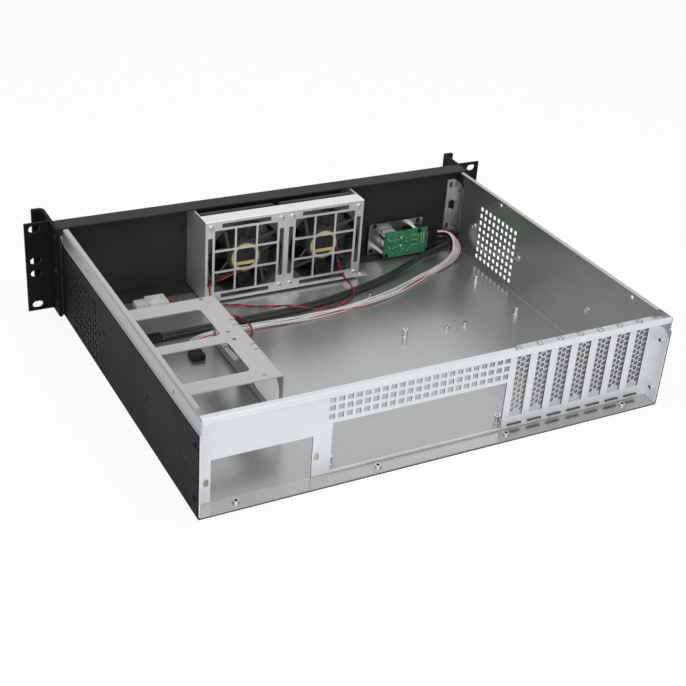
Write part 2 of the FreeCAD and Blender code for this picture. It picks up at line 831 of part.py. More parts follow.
def slot_cover(index):
    name = f"slot_cover_{index + 1}"
    body = new_body(name)
    bind(body, "Placement.Base.x", f"slot_first-{index}*slot_pitch")
    strip = new_sketch(body, f"strip_section_{index + 1}", "YZ", "-cover_width/2")
    plate_front = f"({REAR_INNER}-sheet_thick)"
    outline(strip, [
        (plate_front, "slit_height-sheet_thick/2"),
        (f"{REAR_FACE}+tongue_reach", "slit_height-sheet_thick/2"),
        (f"{REAR_FACE}+tongue_reach", "slit_height+sheet_thick/2"),
        (REAR_INNER, "slit_height+sheet_thick/2"),
        (REAR_INNER, "shelf_top"),
        (f"{REAR_FACE}+tab_reach", "shelf_top"),
        (f"{REAR_FACE}+tab_reach", "shelf_top+sheet_thick"),
        (plate_front, "shelf_top+sheet_thick"),
    ])
    pad(body, f"strip_{index + 1}", strip, "cover_width")
    ear = new_sketch(body, f"tab_ear_outline_{index + 1}", "XY", "shelf_top")
    rectangle(ear, "cover_width/2", "tab_side", REAR_FACE, f"{REAR_FACE}+tab_reach")
    pad(body, f"tab_ear_{index + 1}", ear, "sheet_thick")
    trim = new_sketch(body, f"tongue_trim_{index + 1}", "XZ", plate_front)
    rectangle(trim, "tongue_width/2", "cover_width/2", "slit_height-sheet_thick", "tongue_top")
    rectangle(trim, "-cover_width/2", "-tongue_width/2", "slit_height-sheet_thick", "tongue_top")
    cut(body, f"tongue_cut_{index + 1}", trim)
    notch = new_sketch(body, f"screw_notch_{index + 1}", "XY", "shelf_top")
    rectangle(notch, "slot_screw_side-screw_hole", "tab_side", f"{REAR_FACE}+slot_screw_reach-screw_hole",
              f"{REAR_FACE}+slot_screw_reach+screw_hole")
    cut(body, f"screw_notch_cut_{index + 1}", notch)
    round_off(body, f"top_bend_{index + 1}", "X", [(plate_front, "shelf_top+sheet_thick")], BEND_OUTER)
    keep(body, name)


# Front panel: a tray-shaped black panel with cut-outs for air, ports, buttons and lights

def port_opening(sketch, up):
    centred(sketch, "port_side", up, "port_width+2*port_gap", "port_height+2*port_gap")


def front_panel():
    body = new_body("front_panel")
    section = new_sketch(body, "panel_section", "YZ", f"-{PANEL_HALF}")
    outline(section, [
        ("-panel_thick", FLOOR),
        ("panel_low_flange", FLOOR),
        ("panel_low_flange", f"{FLOOR}+panel_thick"),
        ("0", f"{FLOOR}+panel_thick"),
        ("0", "rack_height-panel_thick"),
        ("panel_flange", "rack_height-panel_thick"),
        ("panel_flange", "rack_height"),
        ("-panel_thick", "rack_height"),
    ])
    pad(body, "panel_face", section, f"2*{PANEL_HALF}")
    for name, start in (("left", f"{PANEL_HALF}-panel_thick"), ("right", f"-{PANEL_HALF}")):
        flange = new_sketch(body, f"{name}_flange_outline", "YZ", start)
        rectangle(flange, "0", "panel_side_flange", f"{FLOOR}+panel_thick", "rack_height-panel_thick")
        pad(body, f"{name}_flange", flange, "panel_thick")
    round_off(body, "top_bend", "X", [("-panel_thick", "rack_height")], "panel_thick")
    vents = new_sketch(body, "fan_slot_outlines", "XZ", "-panel_thick")
    low = "fan_height-(grille_rows-1)*grille_pitch/2"
    for across in FANS.values():
        centred(vents, across, low, "grille_width", "grille_slot")
    vent_cut = cut(body, "fan_slot_cut", vents, "panel_thick")
    row_of(body, "fan_slot_rows", vent_cut, vents, "V_Axis", "grille_pitch", "grille_rows")
    controls = new_sketch(body, "control_outlines", "XZ", "-panel_thick")
    for rise in ("0", "port_pitch"):
        port_opening(controls, f"port_low+{rise}")
    circle(controls, "button_side", "power_height", "power_radius+button_gap")
    circle(controls, "button_side", "reset_height", "reset_radius+button_gap")
    for index in range(3):
        hexagon(controls, "light_side", f"light_low+{index}*light_pitch", "light_radius")
    cut(body, "control_cut", controls, "panel_thick")
    sides = new_sketch(body, "ear_screw_holes", "YZ", "0")
    for height in ("ear_screw_low", "ear_screw_middle", "ear_screw_high"):
        hexagon(sides, "ear_screw_set", height, "screw_hole")
    cut_both_ways(body, "ear_screw_cut", sides)
    keep(body, "front_panel")


# Rack ears: one extruded section each, with the rack flange, the leg beside the case and the curled grip

def rack_ear(side):
    sign = SIDES[side]
    name = f"ear_handle_{side}"
    body = new_body(name)
    leg_out = f"({PANEL_HALF}+leg_thick)"
    grip_out = f"({PANEL_HALF}+leg_thick+grip_curl)"
    corners = [
        (PANEL_HALF, "leg_rear"),
        (leg_out, "leg_rear"),
        (leg_out, "0"),
        (EAR_HALF, "0"),
        (EAR_HALF, "-ear_thick"),
        (leg_out, "-ear_thick"),
        (leg_out, "grip_thick-grip_reach"),
        (grip_out, "grip_thick-grip_reach"),
        (grip_out, "-grip_reach"),
        (PANEL_HALF, "-grip_reach"),
    ]
    section = new_sketch(body, f"ear_section_{side}", "XY", "0")
    outline(section, [(f"{sign}{across}", along) for across, along in corners])
    pad(body, f"ear_extrusion_{side}", section, "rack_height")
    round_off(body, f"grip_round_{side}", "Z", [(f"{sign}{PANEL_HALF}", "-grip_reach")], "grip_round")
    round_off(body, f"grip_edge_{side}", "Z", [
        (f"{sign}{grip_out}", "-grip_reach"),
        (f"{sign}{grip_out}", "grip_thick-grip_reach"),
        (f"{sign}{leg_out}", "grip_thick-grip_reach"),
    ], "grip_edge")
    slots = new_sketch(body, f"rack_slots_{side}", "XZ", "-ear_thick")
    half = "ear_slot_length/2-ear_slot_radius"
    for rise in ("0", "ear_hole_step", "ear_hole_step+ear_hole_gap", "2*ear_hole_step+ear_hole_gap"):
        obround(slots, f"{sign}ear_hole_span/2", f"ear_hole_low+{rise}", half, "ear_slot_radius")
    cut(body, f"rack_slot_cut_{side}", slots)
    holes = new_sketch(body, f"leg_screw_holes_{side}", "YZ", "0")
    for height in ("ear_screw_low", "ear_screw_middle", "ear_screw_high"):
        hexagon(holes, "ear_screw_set", height, "screw_hole")
    cut_both_ways(body, f"leg_screw_cut_{side}", holes)
    keep(body, name)


# Corner brackets: folded angles inside the front corners

def corner_bracket(side):
    sign = SIDES[side]
    name = f"corner_bracket_{side}"
    body = new_body(name)
    front_leg = f"({HALF}-corner_front)"
    section = new_sketch(body, f"angle_section_{side}", "XY", "corner_low")
    corners = [
        (HALF, "0"),
        (HALF, "corner_side"),
        (WALL_IN, "corner_side"),
        (WALL_IN, "sheet_thick"),
        (front_leg, "sheet_thick"),
        (front_leg, "0"),
    ]
    outline(section, [(f"{sign}{across}", along) for across, along in corners])
    pad(body, f"angle_{side}", section, "corner_high-corner_low")
    chamfer_off(body, f"angle_ends_{side}", "X", [
        ("corner_side", "corner_low"),
        ("corner_side", "corner_high"),
    ], "corner_slant")
    mouth = new_sketch(body, f"bend_cut_{side}", "XZ", "0")
    near = f"({HALF}-corner_cut_depth)"
    outline(mouth, [
        (f"{sign}{HALF}", "corner_cut_low"),
        (f"{sign}{near}", "corner_cut_low+corner_cut_slant"),
        (f"{sign}{near}", "corner_cut_high-corner_cut_slant"),
        (f"{sign}{HALF}", "corner_cut_high"),
    ])
    cut(body, f"bend_cut_through_{side}", mouth, "corner_cut_depth")
    slots = new_sketch(body, f"front_leg_slots_{side}", "XZ", "0")
    for height in ("corner_low+2*corner_slot", "corner_high-2*corner_slot"):
        centred(slots, f"{sign}({HALF}-corner_front/2)", height, "corner_slot", "2*corner_slot")
    cut(body, f"front_leg_slot_cut_{side}", slots, "sheet_thick")
    sides = new_sketch(body, f"side_leg_slots_{side}", "YZ", "0")
    for height in ("corner_low+3*corner_slot", "corner_high-3*corner_slot"):
        centred(sides, "corner_slot_along", height, "corner_slot", "corner_slot")
    cut_both_ways(body, f"side_leg_slot_cut_{side}", sides)
    keep(body, name)


# Fan cage: a folded zinc tray with a barred window for each fan

def fan_screw_spots():
    """Places of the four corner screws of each fan."""
    half = "fan_hole_span/2"
    return [(f"{fan}{a}{half}", f"fan_height{b}{half}") for fan in FANS.values() for a in "-+" for b in "-+"]


def fan_cage():
    body = new_body("fan_cage")
    left_in = "(cage_left-sheet_thick)"
    right_in = "(cage_right+sheet_thick)"
    plan = new_sketch(body, "cage_plan", "XY", "cage_low")
    outline(plan, [
        ("cage_left", "0"),
        ("cage_left", "cage_rear"),
        ("cage_right", "cage_rear"),
        ("cage_right", "0"),
        (right_in, "0"),
        (right_in, CAGE_IN),
        (left_in, CAGE_IN),
        (left_in, "0"),
    ])
    pad(body, "cage_walls", plan, "cage_top-cage_low")
    top = new_sketch(body, "top_flange_outline", "XY", "cage_top-sheet_thick")
    rectangle(top, "cage_right", "cage_left", "cage_rear-cage_flange", "cage_rear")
    pad(body, "top_flange", top, "sheet_thick")
    feet = new_sketch(body, "foot_sections", "XZ", "foot_front")
    for wall, sign in (("cage_left", "+"), ("cage_right", "-")):
        inner = "-" if sign == "+" else "+"
        outline(feet, [
            (f"{wall}{inner}sheet_thick", FLOOR),
            (f"{wall}{sign}foot_out", FLOOR),
            (f"{wall}{sign}foot_out", f"{FLOOR}+sheet_thick"),
            (wall, f"{FLOOR}+sheet_thick"),
            (wall, "cage_low+sheet_thick"),
            (f"{wall}{inner}sheet_thick", "cage_low+sheet_thick"),
        ])
    pad(body, "feet", feet, "foot_rear-foot_front")
    round_off(body, "top_bend", "X", [("cage_rear", "cage_top")], "sheet_thick")
    windows = new_sketch(body, "window_cells", "XZ", CAGE_IN)
    edge = "window_side/2"
    inner = "(window_bar_offset-window_bar/2)"
    outer = "(window_bar_offset+window_bar/2)"
    spans = ((f"-{edge}", f"-{outer}"), (f"-{inner}", inner), (outer, edge))
    for fan in FANS.values():
        for left, right in spans:
            for low, high in spans:
                rectangle(windows, f"{fan}+{left}", f"{fan}+{right}",
                          f"fan_height+{low}", f"fan_height+{high}")
    cut(body, "window_cut", windows)
    slots = new_sketch(body, "edge_slots", "XZ", CAGE_IN)
    middle = "(cage_slot_offset+cage_slot_width/2)"
    for fan in FANS.values():
        for sign in ("-", "+"):
            centred(slots, f"{fan}{sign}{middle}", "fan_height", "cage_slot_width", "cage_slot_length")
            centred(slots, fan, f"fan_height{sign}{middle}", "cage_slot_length", "cage_slot_width")
    cut(body, "edge_slot_cut", slots)
    holes = new_sketch(body, "fan_screw_holes", "XZ", CAGE_IN)
    for across, up in fan_screw_spots():
        hexagon(holes, across, up, "screw_hole")
    cut(body, "fan_screw_cut", holes)
    floor = new_sketch(body, "foot_holes", "XY", FLOOR)
    cage_foot_holes(floor)
    cut(body, "foot_hole_cut", floor, "sheet_thick")
    keep(body, "fan_cage")


# Fans: a moulded frame with its motor seat on struts, and a bladed rotor on a shaft

def fan_frame(number):
    name = f"fan_frame_{number}"
    body = new_body(name)
    bind(body, "Placement.Base.x", FANS[number])
    bind(body, "Placement.Base.z", "fan_height")
    half = "(fan_side/2)"
    rear = f"({FAN_FRONT}+fan_deep)"
    prism_on(body, f"frame_ring_{number}", "Additive", BORE_SIDES, rear, "fan_ring", "fan_deep")
    for place, front in (("front", FAN_FRONT), ("rear", f"{rear}-fan_flange")):
        square = new_sketch(body, f"{place}_flange_outline_{number}", "XZ", front)
        rectangle(square, f"-{half}", half, f"-{half}", half)
        pad(body, f"{place}_flange_{number}", square, "fan_flange")
    corners = [(f"{a}{half}", f"{b}{half}") for a in ("", "-") for b in ("", "-")]
    round_off(body, f"frame_corners_{number}", "Y", corners, "fan_corner")
    prism_on(body, f"frame_bore_{number}", "Subtractive", BORE_SIDES, rear, "fan_bore", "fan_deep")
    prism_on(body, f"motor_seat_{number}", "Additive", HUB_SIDES, STATOR_REAR, "stator_radius", "stator_deep")
    strut = new_sketch(body, f"strut_outline_{number}", "XZ", STATOR_FRONT)
    reach = "(fan_bore+strut_bury)"
    near = "(strut_offset-strut_width/2)"
    far = "(strut_offset+strut_width/2)"
    sine = "sin(strut_turn*1 deg)"
    cosine = "cos(strut_turn*1 deg)"

    def turned(along, side):
        return f"({along})*{sine}+({side})*{cosine}", f"({along})*{cosine}-({side})*{sine}"

    outer_end = f"sqrt({reach}^2-{far}^2)"
    outline(strut, [turned("0", near), turned("0", far), turned(outer_end, far), turned(outer_end, near)])
    strut_pad = pad(body, f"strut_{number}", strut, "strut_deep")
    all_round(body, f"struts_{number}", strut_pad, strut, "strut_count")
    holes = new_sketch(body, f"frame_holes_{number}", "XZ", FAN_FRONT)
    for across in ("-", "+"):
        for up in ("-", "+"):
            hexagon(holes, f"0{across}fan_hole_span/2", f"0{up}fan_hole_span/2", "screw_hole")
    cut(body, f"frame_hole_cut_{number}", holes)
    notch = new_sketch(body, f"lead_notch_outline_{number}", "XZ", f"{STATOR_FRONT}+strut_deep")
    if number == "1":
        rectangle(notch, "notch_near", f"{half}+1", "-notch_low", "-notch_high")
    else:
        rectangle(notch, "-notch_low", "-notch_high", f"-{half}-1", "-notch_near")
    cut(body, f"lead_notch_{number}", notch)
    bore = new_sketch(body, f"shaft_bore_{number}", "XZ", STATOR_FRONT)
    circle(bore, "0", "0", "shaft_radius+shaft_gap")
    cut(body, f"shaft_bore_cut_{number}", bore, "shaft_in+shaft_gap")
    keep(body, name)


def fan_rotor(number):
    name = f"fan_rotor_{number}"
    body = new_body(name)
    bind(body, "Placement.Base.x", FANS[number])
    bind(body, "Placement.Base.z", "fan_height")
    hub_rear = f"({STATOR_FRONT}-rotor_gap)"
    prism_on(body, f"hub_{number}", "Additive", HUB_SIDES, hub_rear, "rotor_radius", "rotor_deep")
    shaft = new_sketch(body, f"shaft_outline_{number}", "XZ", hub_rear)
    circle(shaft, "0", "0", "shaft_radius")
    pad(body, f"shaft_{number}", shaft, "rotor_gap+shaft_in")
    blade = new_sketch(body, f"blade_section_{number}", "YZ", "blade_root")
    middle = f"({hub_rear}-rotor_deep/2)"
    half = "(blade_chord/2)"
    sine = "sin(blade_pitch*1 deg)"
    cosine = "cos(blade_pitch*1 deg)"

    def leaned(along, rise):
        return f"{middle}+({along})*{cosine}-({rise})*{sine}", f"({along})*{sine}+({rise})*{cosine}"

    def low_and_high(along, rise):
        return leaned(along, rise), leaned(along, f"{rise}+blade_thick")

    stations = [(f"-{half}", "0"), (f"-{half}/3", "blade_crown"), (f"{half}/3", "blade_crown"), (half, "0")]
    pairs = [low_and_high(along, rise) for along, rise in stations]
    outline(blade, [pair[0] for pair in pairs] + [pair[1] for pair in reversed(pairs)])
    swing = f"({half}*{sine}+blade_crown+blade_thick)"
    tip = f"sqrt((fan_bore-blade_tip_gap)^2-{swing}^2)"
    blade_pad = pad(body, f"blade_{number}", blade, f"{tip}-blade_root")
    all_round(body, f"blades_{number}", blade_pad, shaft, "blade_count")
    keep(body, name)


def fan_label(number):
    name = f"fan_label_{number}"
    disc = prism_bar(name, HUB_SIDES, FANS[number], STATOR_REAR, "fan_height", "label_radius", "label_thick")
    keep(disc, name)


# Drive bracket: a folded bridge over the power supply bay, fixed to the left wall and the floor

def drive_bracket():
    body = new_body("drive_bracket")
    under = "(bracket_top-sheet_thick)"
    section = new_sketch(body, "bridge_section", "XZ", "bracket_front")
    outline(section, [
        (WALL_IN, "bracket_top-bracket_flange"),
        (WALL_IN, "bracket_top"),
        ("bracket_edge", "bracket_top"),
        ("bracket_edge", f"{FLOOR}+sheet_thick"),
        ("bracket_edge-bracket_foot", f"{FLOOR}+sheet_thick"),
        ("bracket_edge-bracket_foot", FLOOR),
        (BRACKET_WALL_IN, FLOOR),
        (BRACKET_WALL_IN, under),
        (f"{WALL_IN}-sheet_thick", under),
        (f"{WALL_IN}-sheet_thick", "bracket_top-bracket_flange"),
    ])
    pad(body, "bridge", section, "bracket_rear-bracket_front")
    round_off(body, "outer_bends", "Y", [
        (WALL_IN, "bracket_top"),
        ("bracket_edge", "bracket_top"),
        (BRACKET_WALL_IN, FLOOR),
    ], BEND_OUTER)
    windows = new_sketch(body, "window_outlines", "XY", under)
    spots = []
    for index in range(2):
        near = f"(drive_window_first+{index}*drive_window_pitch)"
        far = f"(drive_window_first+{index}*drive_window_pitch+drive_window_along)"
        rectangle(windows, "drive_window_right", "drive_window_left", near, far)
        spots += [("drive_window_right", near), ("drive_window_right", far)]
        spots += [("drive_window_left", near), ("drive_window_left", far)]
    cut(body, "window_cut", windows)
    round_off(body, "window_corners", "Z", spots, "drive_window_corner")
    arches = new_sketch(body, "arch_outlines", "YZ", "bracket_edge")
    spots = []
    for index in range(2):
        near = f"(arch_first+{index}*arch_pitch)"
        far = f"(arch_first+{index}*arch_pitch+arch_along)"
        rectangle(arches, near, far, "arch_low", "arch_high")
        spots += [(along, up) for along in (near, far) for up in ("arch_low", "arch_high")]
    cut(body, "arch_cut", arches, "sheet_thick")
    round_off(body, "arch_corners", "X", spots, "arch_corner")
    holes = new_sketch(body, "drive_holes", "XY", under)
    for across in ("drive_hole_right", "drive_hole_right+drive_hole_across"):
        for index in range(2):
            first = f"drive_hole_first+{index}*drive_pitch"
            hexagon(holes, across, first, "screw_hole")
            hexagon(holes, across, f"{first}+drive_hole_along", "screw_hole")
    for index in range(2):
        pair = f"(drive_window_first+tie_slot_along+{index}*(drive_window_along-tie_slot_long))"
        for sign in ("-", "+"):
            along = f"{pair}{sign}tie_slot_long"
            centred(holes, "bracket_edge+tie_slot_set", along, "tie_slot_long", "tie_slot_wide")
    cut(body, "drive_hole_cut", holes)
    feet = new_sketch(body, "foot_holes", "XY", FLOOR)
    for place in ("foot_hole_front", "foot_hole_rear"):
        hexagon(feet, "bracket_edge-bracket_foot/2", place, "screw_hole")
    cut(body, "foot_hole_cut", feet, "sheet_thick")
    wall = new_sketch(body, "wall_flange_holes", "YZ", f"{WALL_IN}-sheet_thick")
    for place in ("bracket_screw_front", "bracket_screw_rear"):
        hexagon(wall, place, "bracket_screw_height", "screw_hole")
    cut(body, "wall_flange_hole_cut", wall, "sheet_thick")
    keep(body, "drive_bracket")


# Control board behind the front panel, with its plate, ports, switches, buttons and lights

PLATE_HOLES = {
    "a": ("plate_left-plate_hole_set", "plate_high-plate_hole_drop"),
    "b": ("plate_right+plate_hole_set", "plate_high-plate_hole_drop"),
    "c": ("plate_left-plate_low_hole_set", "plate_low+plate_low_hole_rise"),
    "d": ("plate_right+plate_low_hole_set", "plate_high-plate_side_hole_drop"),
}
BOARD_HOLES = {
    "a": ("board_right+board_far_hole_set", "board_high-board_hole_set"),
    "b": ("board_left-board_hole_set", "board_low+board_hole_set"),
}


def board_plate():
    body = new_body("board_plate")
    face = new_sketch(body, "plate_outline", "XZ", "plate_set")
    rectangle(face, "plate_right", "plate_left", "plate_low", "plate_high")
    pad(body, "plate", face, "sheet_thick")
    corners = [(across, up) for across in ("plate_left", "plate_right") for up in ("plate_low", "plate_high")]
    round_off(body, "plate_corners", "Y", corners, "plate_corner")
    holes = new_sketch(body, "plate_openings", "XZ", "plate_set")
    for across, up in PLATE_HOLES.values():
        hexagon(holes, across, up, "screw_hole")
    for rise in ("0", "port_pitch"):
        port_opening(holes, f"port_low+{rise}")
    rectangle(holes, "light_side-light_radius-plate_window_gap", "button_side+power_radius+plate_window_gap",
              "light_low-light_radius-plate_window_gap", "power_height+power_radius+plate_window_gap")
    cut(body, "plate_opening_cut", holes)
    keep(body, "board_plate")


def control_board():
    body = new_body("control_board")
    face = new_sketch(body, "board_outline", "XZ", "board_set")
    rectangle(face, "board_right", "board_left", "board_low", "board_high")
    pad(body, "board", face, "board_thick")
    holes = new_sketch(body, "board_holes", "XZ", "board_set")
    for across, up in BOARD_HOLES.values():
        hexagon(holes, across, up, "screw_shank")
    cut(body, "board_hole_cut", holes)
    keep(body, "control_board")


def usb_port(index):
    name = f"usb_port_{index + 1}"
    half_width = "port_width/2"
    half_height = "port_height/2"
    up = f"(port_low+{index}*port_pitch)"
    shell = box(f"{name}_shell", f"port_side-{half_width}", f"port_side+{half_width}",
                "-panel_thick-port_out", "board_set", f"{up}-{half_height}", f"{up}+{half_height}")
    hollow = box(f"{name}_hollow", f"port_side-{half_width}+port_wall", f"port_side+{half_width}-port_wall",
                 "-panel_thick-port_out-1", "port_hollow_end", f"{up}-{half_height}+port_wall",
                 f"{up}+{half_height}-port_wall")
    tongue = box(f"{name}_tongue", f"port_side-{half_width}+port_tongue",
                 f"port_side+{half_width}-port_tongue", "0", "port_hollow_end",
                 f"{up}+{half_height}-port_tongue_gap-port_tongue", f"{up}+{half_height}-port_tongue_gap")
    keep(joined(name, [cut_from(f"{name}_socket", shell, hollow), tongue]), name)


def push_button(name, up, radius, switch):
    """One push button: its cap fills the panel's hole and its plunger rests in the switch behind."""
    switch_front = "(board_set-switch_deep)"
    cap = prism_bar(f"{name}_cap", CAP_SIDES, "button_side", "-panel_thick-button_out", up, radius,
                    "button_cap_deep")
    plunger = prism_bar(f"{name}_plunger", HEXAGON_SIDES, "button_side", "0", up, "plunger_radius",
                        f"{switch_front}+plunger_in")
    keep(joined(name, [cap, plunger]), name)
    case = box(f"{switch}_case", "button_side-switch_side/2", "button_side+switch_side/2", switch_front,
               "board_set", f"{up}-switch_side/2", f"{up}+switch_side/2")
    bore = prism_bar(f"{switch}_bore", HEXAGON_SIDES, "button_side", switch_front, up,
                     "plunger_radius+2*shaft_gap", "plunger_in+button_travel+plunger_room")
    keep(cut_from(switch, case, bore), switch)


def indicator_lights():
    lights = []
    for index in range(3):
        up = f"light_low+{index}*light_pitch"
        lights.append(prism_bar(f"light_{index + 1}", HEXAGON_SIDES, "light_side", "-panel_thick", up,
                                "light_radius", "board_set+panel_thick"))
    keep(group("indicator_lights", lights), "indicator_lights")


def hex_rods(name, spots, front, rear, radius):
    """Hexagonal spacers along Y, one at each spot."""
    length = f"({rear})-({front})"
    rods = [prism_bar(f"{name}_{key}", HEXAGON_SIDES, across, front, up, radius, length)
            for key, (across, up) in spots.items()]
    keep(group(name, rods), name)


# Standoffs on the floor for the system board

def stand_at(item, across, along, low):
    bind(item, "Placement.Base.x", across)
    bind(item, "Placement.Base.y", f"{along}+({DATUM})")
    bind(item, "Placement.Base.z", low)


def floor_post(name, across, along, radius, height):
    post = doc.addObject("Part::Prism", name)
    post.Polygon = HEXAGON_SIDES
    bind(post, "Circumradius", radius)
    bind(post, "Height", height)
    stand_at(post, across, along, FLOOR)
    return post


def board_standoffs():
    posts = []
    right = "standoff_column-standoff_right"
    columns = {"a": "standoff_column+standoff_left", "b": "standoff_column", "c": right}
    rows = {"1": "standoff_row", "2": "standoff_row+standoff_rear"}
    spots = {key + row: (across, along) for key, across in columns.items() for row, along in rows.items()}
    spots["c3"] = (right, "standoff_row-standoff_front")
    for key, (across, along) in spots.items():
        post = floor_post(f"post_{key}", across, along, "standoff_radius", "standoff_height")
        bore = doc.addObject("Part::Cylinder", f"post_bore_{key}")
        bind(bore, "Radius", "standoff_bore")
        bind(bore, "Height", "standoff_deep")
        stand_at(bore, across, along, f"{FLOOR}+standoff_height-standoff_deep")
        posts.append(cut_from(f"standoff_{key}", post, bore))
    keep(group("board_standoffs", posts), "board_standoffs")


def floor_studs():
    spots = {
        "a": ("stud_near", "standoff_row"),
        "b": ("stud_far", "standoff_row"),
        "c": ("stud_front_side", "stud_front_row"),
    }
    studs = [floor_post(f"stud_{key}", across, along, "floor_stud_radius", "floor_stud_height")
             for key, (across, along) in spots.items()]
    keep(group("floor_studs", studs), "floor_studs")


# Screws

def hex_prism(radius, low, high):
    """A hexagonal prism along Z whose flats lie at the stated radius."""
    half_turn = math.pi / HEXAGON_SIDES
    reach = radius / math.cos(half_turn)
    corners = []
    for corner in range(HEXAGON_SIDES + 1):
        angle = (2 * corner + 1) * half_turn
        corners.append(Vector(reach * math.cos(angle), reach * math.sin(angle), low))
    return Part.Face(Part.makePolygon(corners)).extrude(Vector(0, 0, high - low))


def screw(spot, direction, length):
    """One screw with the underside of its head at the spot and its shank along the direction."""
    shank = hex_prism(num("screw_shank"), -0.5 * num("screw_head_height"), length)
    head = hex_prism(num("screw_head"), -num("screw_head_height"), 0)
    solid = head.fuse(shank).removeSplitter()
    solid.Placement = FreeCAD.Placement(Vector(*spot), FreeCAD.Rotation(Vector(0, 0, 1), Vector(*direction)))
    return solid.Solids[0] if solid.Solids else solid


def screw_set(name, places, length):
    """A node of like screws: each place is three expressions and the shank's direction."""
    solids = [screw([num(part) for part in spot], direction, num(length)) for spot, direction in places]
    keep(shaped(name, Part.makeCompound(solids)), name)


DOWN = (0, 0, -1)
FORWARD = (0, -1, 0)


def all_screws():
    slot_places = []
    for index in range(int(num("slot_count"))):
        across = f"slot_first+slot_screw_side-{index}*slot_pitch"
        slot_places.append(((across, f"{REAR_FACE}+slot_screw_reach", "shelf_top+sheet_thick"), DOWN))
    screw_set("slot_cover_screws", slot_places, "screw_length")
    fan_places = [((across, "cage_rear", up), FORWARD) for across, up in fan_screw_spots()]
    screw_set("fan_screws", fan_places, "fan_screw_length")


# Leads: straight runs joined by tangent arcs

def lead_path(name, points):
    """Join points by straight runs, with an arc at each as large as its two runs allow."""
    places = [Vector(*point) for point in points]
    edges = []
    start = places[0]
    radii = []
    for before, here, after in zip(places, places[1:], places[2:]):
        back = (before - here).normalize()
        ahead = (after - here).normalize()
        run = min((before - here).Length, (after - here).Length)
        turn = math.pi - back.getAngle(ahead)
        setback = num("lead_bend_share") * run
        radii.append(round(setback / math.tan(turn / 2), 1))
        entry = here + back * setback
        leave = here + ahead * setback
        bisector = (back + ahead).normalize()
        middle_distance = setback / math.tan(turn / 2) * (1 / math.cos(turn / 2) - 1)
        middle = here + bisector * middle_distance
        edges.append(Part.LineSegment(start, entry).toShape())
        edges.append(Part.Arc(entry, middle, leave).toShape())
        start = leave
    edges.append(Part.LineSegment(start, places[-1]).toShape())
    print(name, "bend radii", radii)
    return Part.Wire(edges)


def lead(name, points, radius):
    """A plain tube with a square section along a route, checked against its section times its length."""
    path = lead_path(name, points)
    start = Vector(*points[0])
    along = (Vector(*points[1]) - start).normalize()
    turn = FreeCAD.Rotation(Vector(0, 0, 1), along)
    size = num(radius)
    corners = []
    for corner in range(LEAD_SIDES + 1):
        angle = 2 * math.pi * corner / LEAD_SIDES
        corners.append(start + turn.multVec(Vector(size * math.cos(angle), size * math.sin(angle), 0)))
    section = Part.makePolygon(corners)
    tube = path.makePipeShell([section], True, False)
    expected = Part.Face(section).Area * path.Length
    print(name, "length", round(path.Length, 1), "volume ratio", round(tube.Volume / expected, 4))
    keep(shaped(name, tube), name)


# Routes of the leads, as points in the case's datum frame

USB_LEAD_1 = [
    (-184.5, 19.8, 12.2), (-196.2, 20.2, 12.6), (-196.0, 35.4, 11.6), (-178.5, 34.8, 10.4),
    (-146.0, 41.3, 8.0), (-109.5, 57.6, 4.4), (-60.6, 72.2, 3.4), (-3.9, 85.4, 3.3),
    (44.4, 86.7, 3.4), (95.6, 88.3, 3.3), (146.0, 90.6, 3.4),
]
USB_LEAD_2 = [
    (-184.5, 19.8, 18.3), (-194.2, 20.2, 18.6), (-194.0, 34.6, 17.4), (-177.5, 36.0, 15.2),
    (-147.2, 46.0, 11.0), (-110.2, 63.0, 5.6), (-60.6, 77.4, 3.4), (-3.9, 90.6, 3.3),
    (44.4, 91.9, 3.4), (95.6, 93.5, 3.3), (146.0, 95.8, 3.4),
]
RIBBON = [
    (-184.5, 19.8, 24.4), (-194.8, 20.6, 24.8), (-201.6, 29.0, 20.4), (-201.4, 39.0, 9.6),
    (-190.0, 46.8, 3.9), (-166.0, 58.6, 3.7), (-130.0, 73.4, 3.7), (-91.0, 91.8, 3.7),
    (-47.0, 101.0, 3.7), (10.0, 104.6, 3.8), (62.0, 103.0, 3.7), (96.0, 100.4, 3.7),
    (118.0, 104.0, 3.7), (128.6, 115.0, 3.8), (129.0, 127.0, 3.7),
]
FAN_LEAD_1 = [
    (50.0, 44.25, 29.6), (79.4, 44.3, 22.3), (81.5, 46.6, 21.4), (82.6, 51.0, 19.8),
    (88.4, 64.0, 10.4), (82.4, 77.0, 7.4), (72.0, 88.0, 8.6), (65.6, 103.0, 8.6),
    (66.4, 116.0, 5.0), (73.0, 123.4, 3.8), (82.0, 127.0, 4.2),
]
FAN_LEAD_2 = [
    (-53.4, 44.25, 39.3), (-60.8, 44.3, 9.8), (-61.4, 46.6, 7.6), (-61.6, 51.0, 6.8),
    (-59.8, 65.0, 7.9), (-56.4, 80.5, 8.3), (-50.0, 88.0, 3.8), (-40.0, 90.8, 2.5),
    (-20.0, 94.4, 2.8), (-3.0, 97.0, 6.6), (8.6, 94.2, 8.7), (19.6, 86.4, 8.7),
    (28.6, 77.6, 4.8), (38.0, 70.4, 2.5), (62.0, 56.4, 2.5), (92.0, 48.6, 2.5),
    (105.5, 41.2, 3.2), (118.8, 31.4, 5.5),
]


def header_pieces():
    """The pin header on the control board and the plug on each lead that leaves it."""
    front = "(board_set-header_deep)"
    keep(box("pin_header", "header_right", "header_left", front, "board_set", "header_low",
             "header_low+3*header_plug_pitch"), "pin_header")
    plugs = []
    for index in range(3):
        low = f"header_low+{index}*header_plug_pitch+(header_plug_pitch-header_plug_high)/2"
        plugs.append(box(f"header_plug_{index}", "header_right-header_plug_long", "header_right", front,
                         f"{front}+header_plug_wide", low, f"{low}+header_plug_high"))
    keep(group("header_plugs", plugs), "header_plugs")


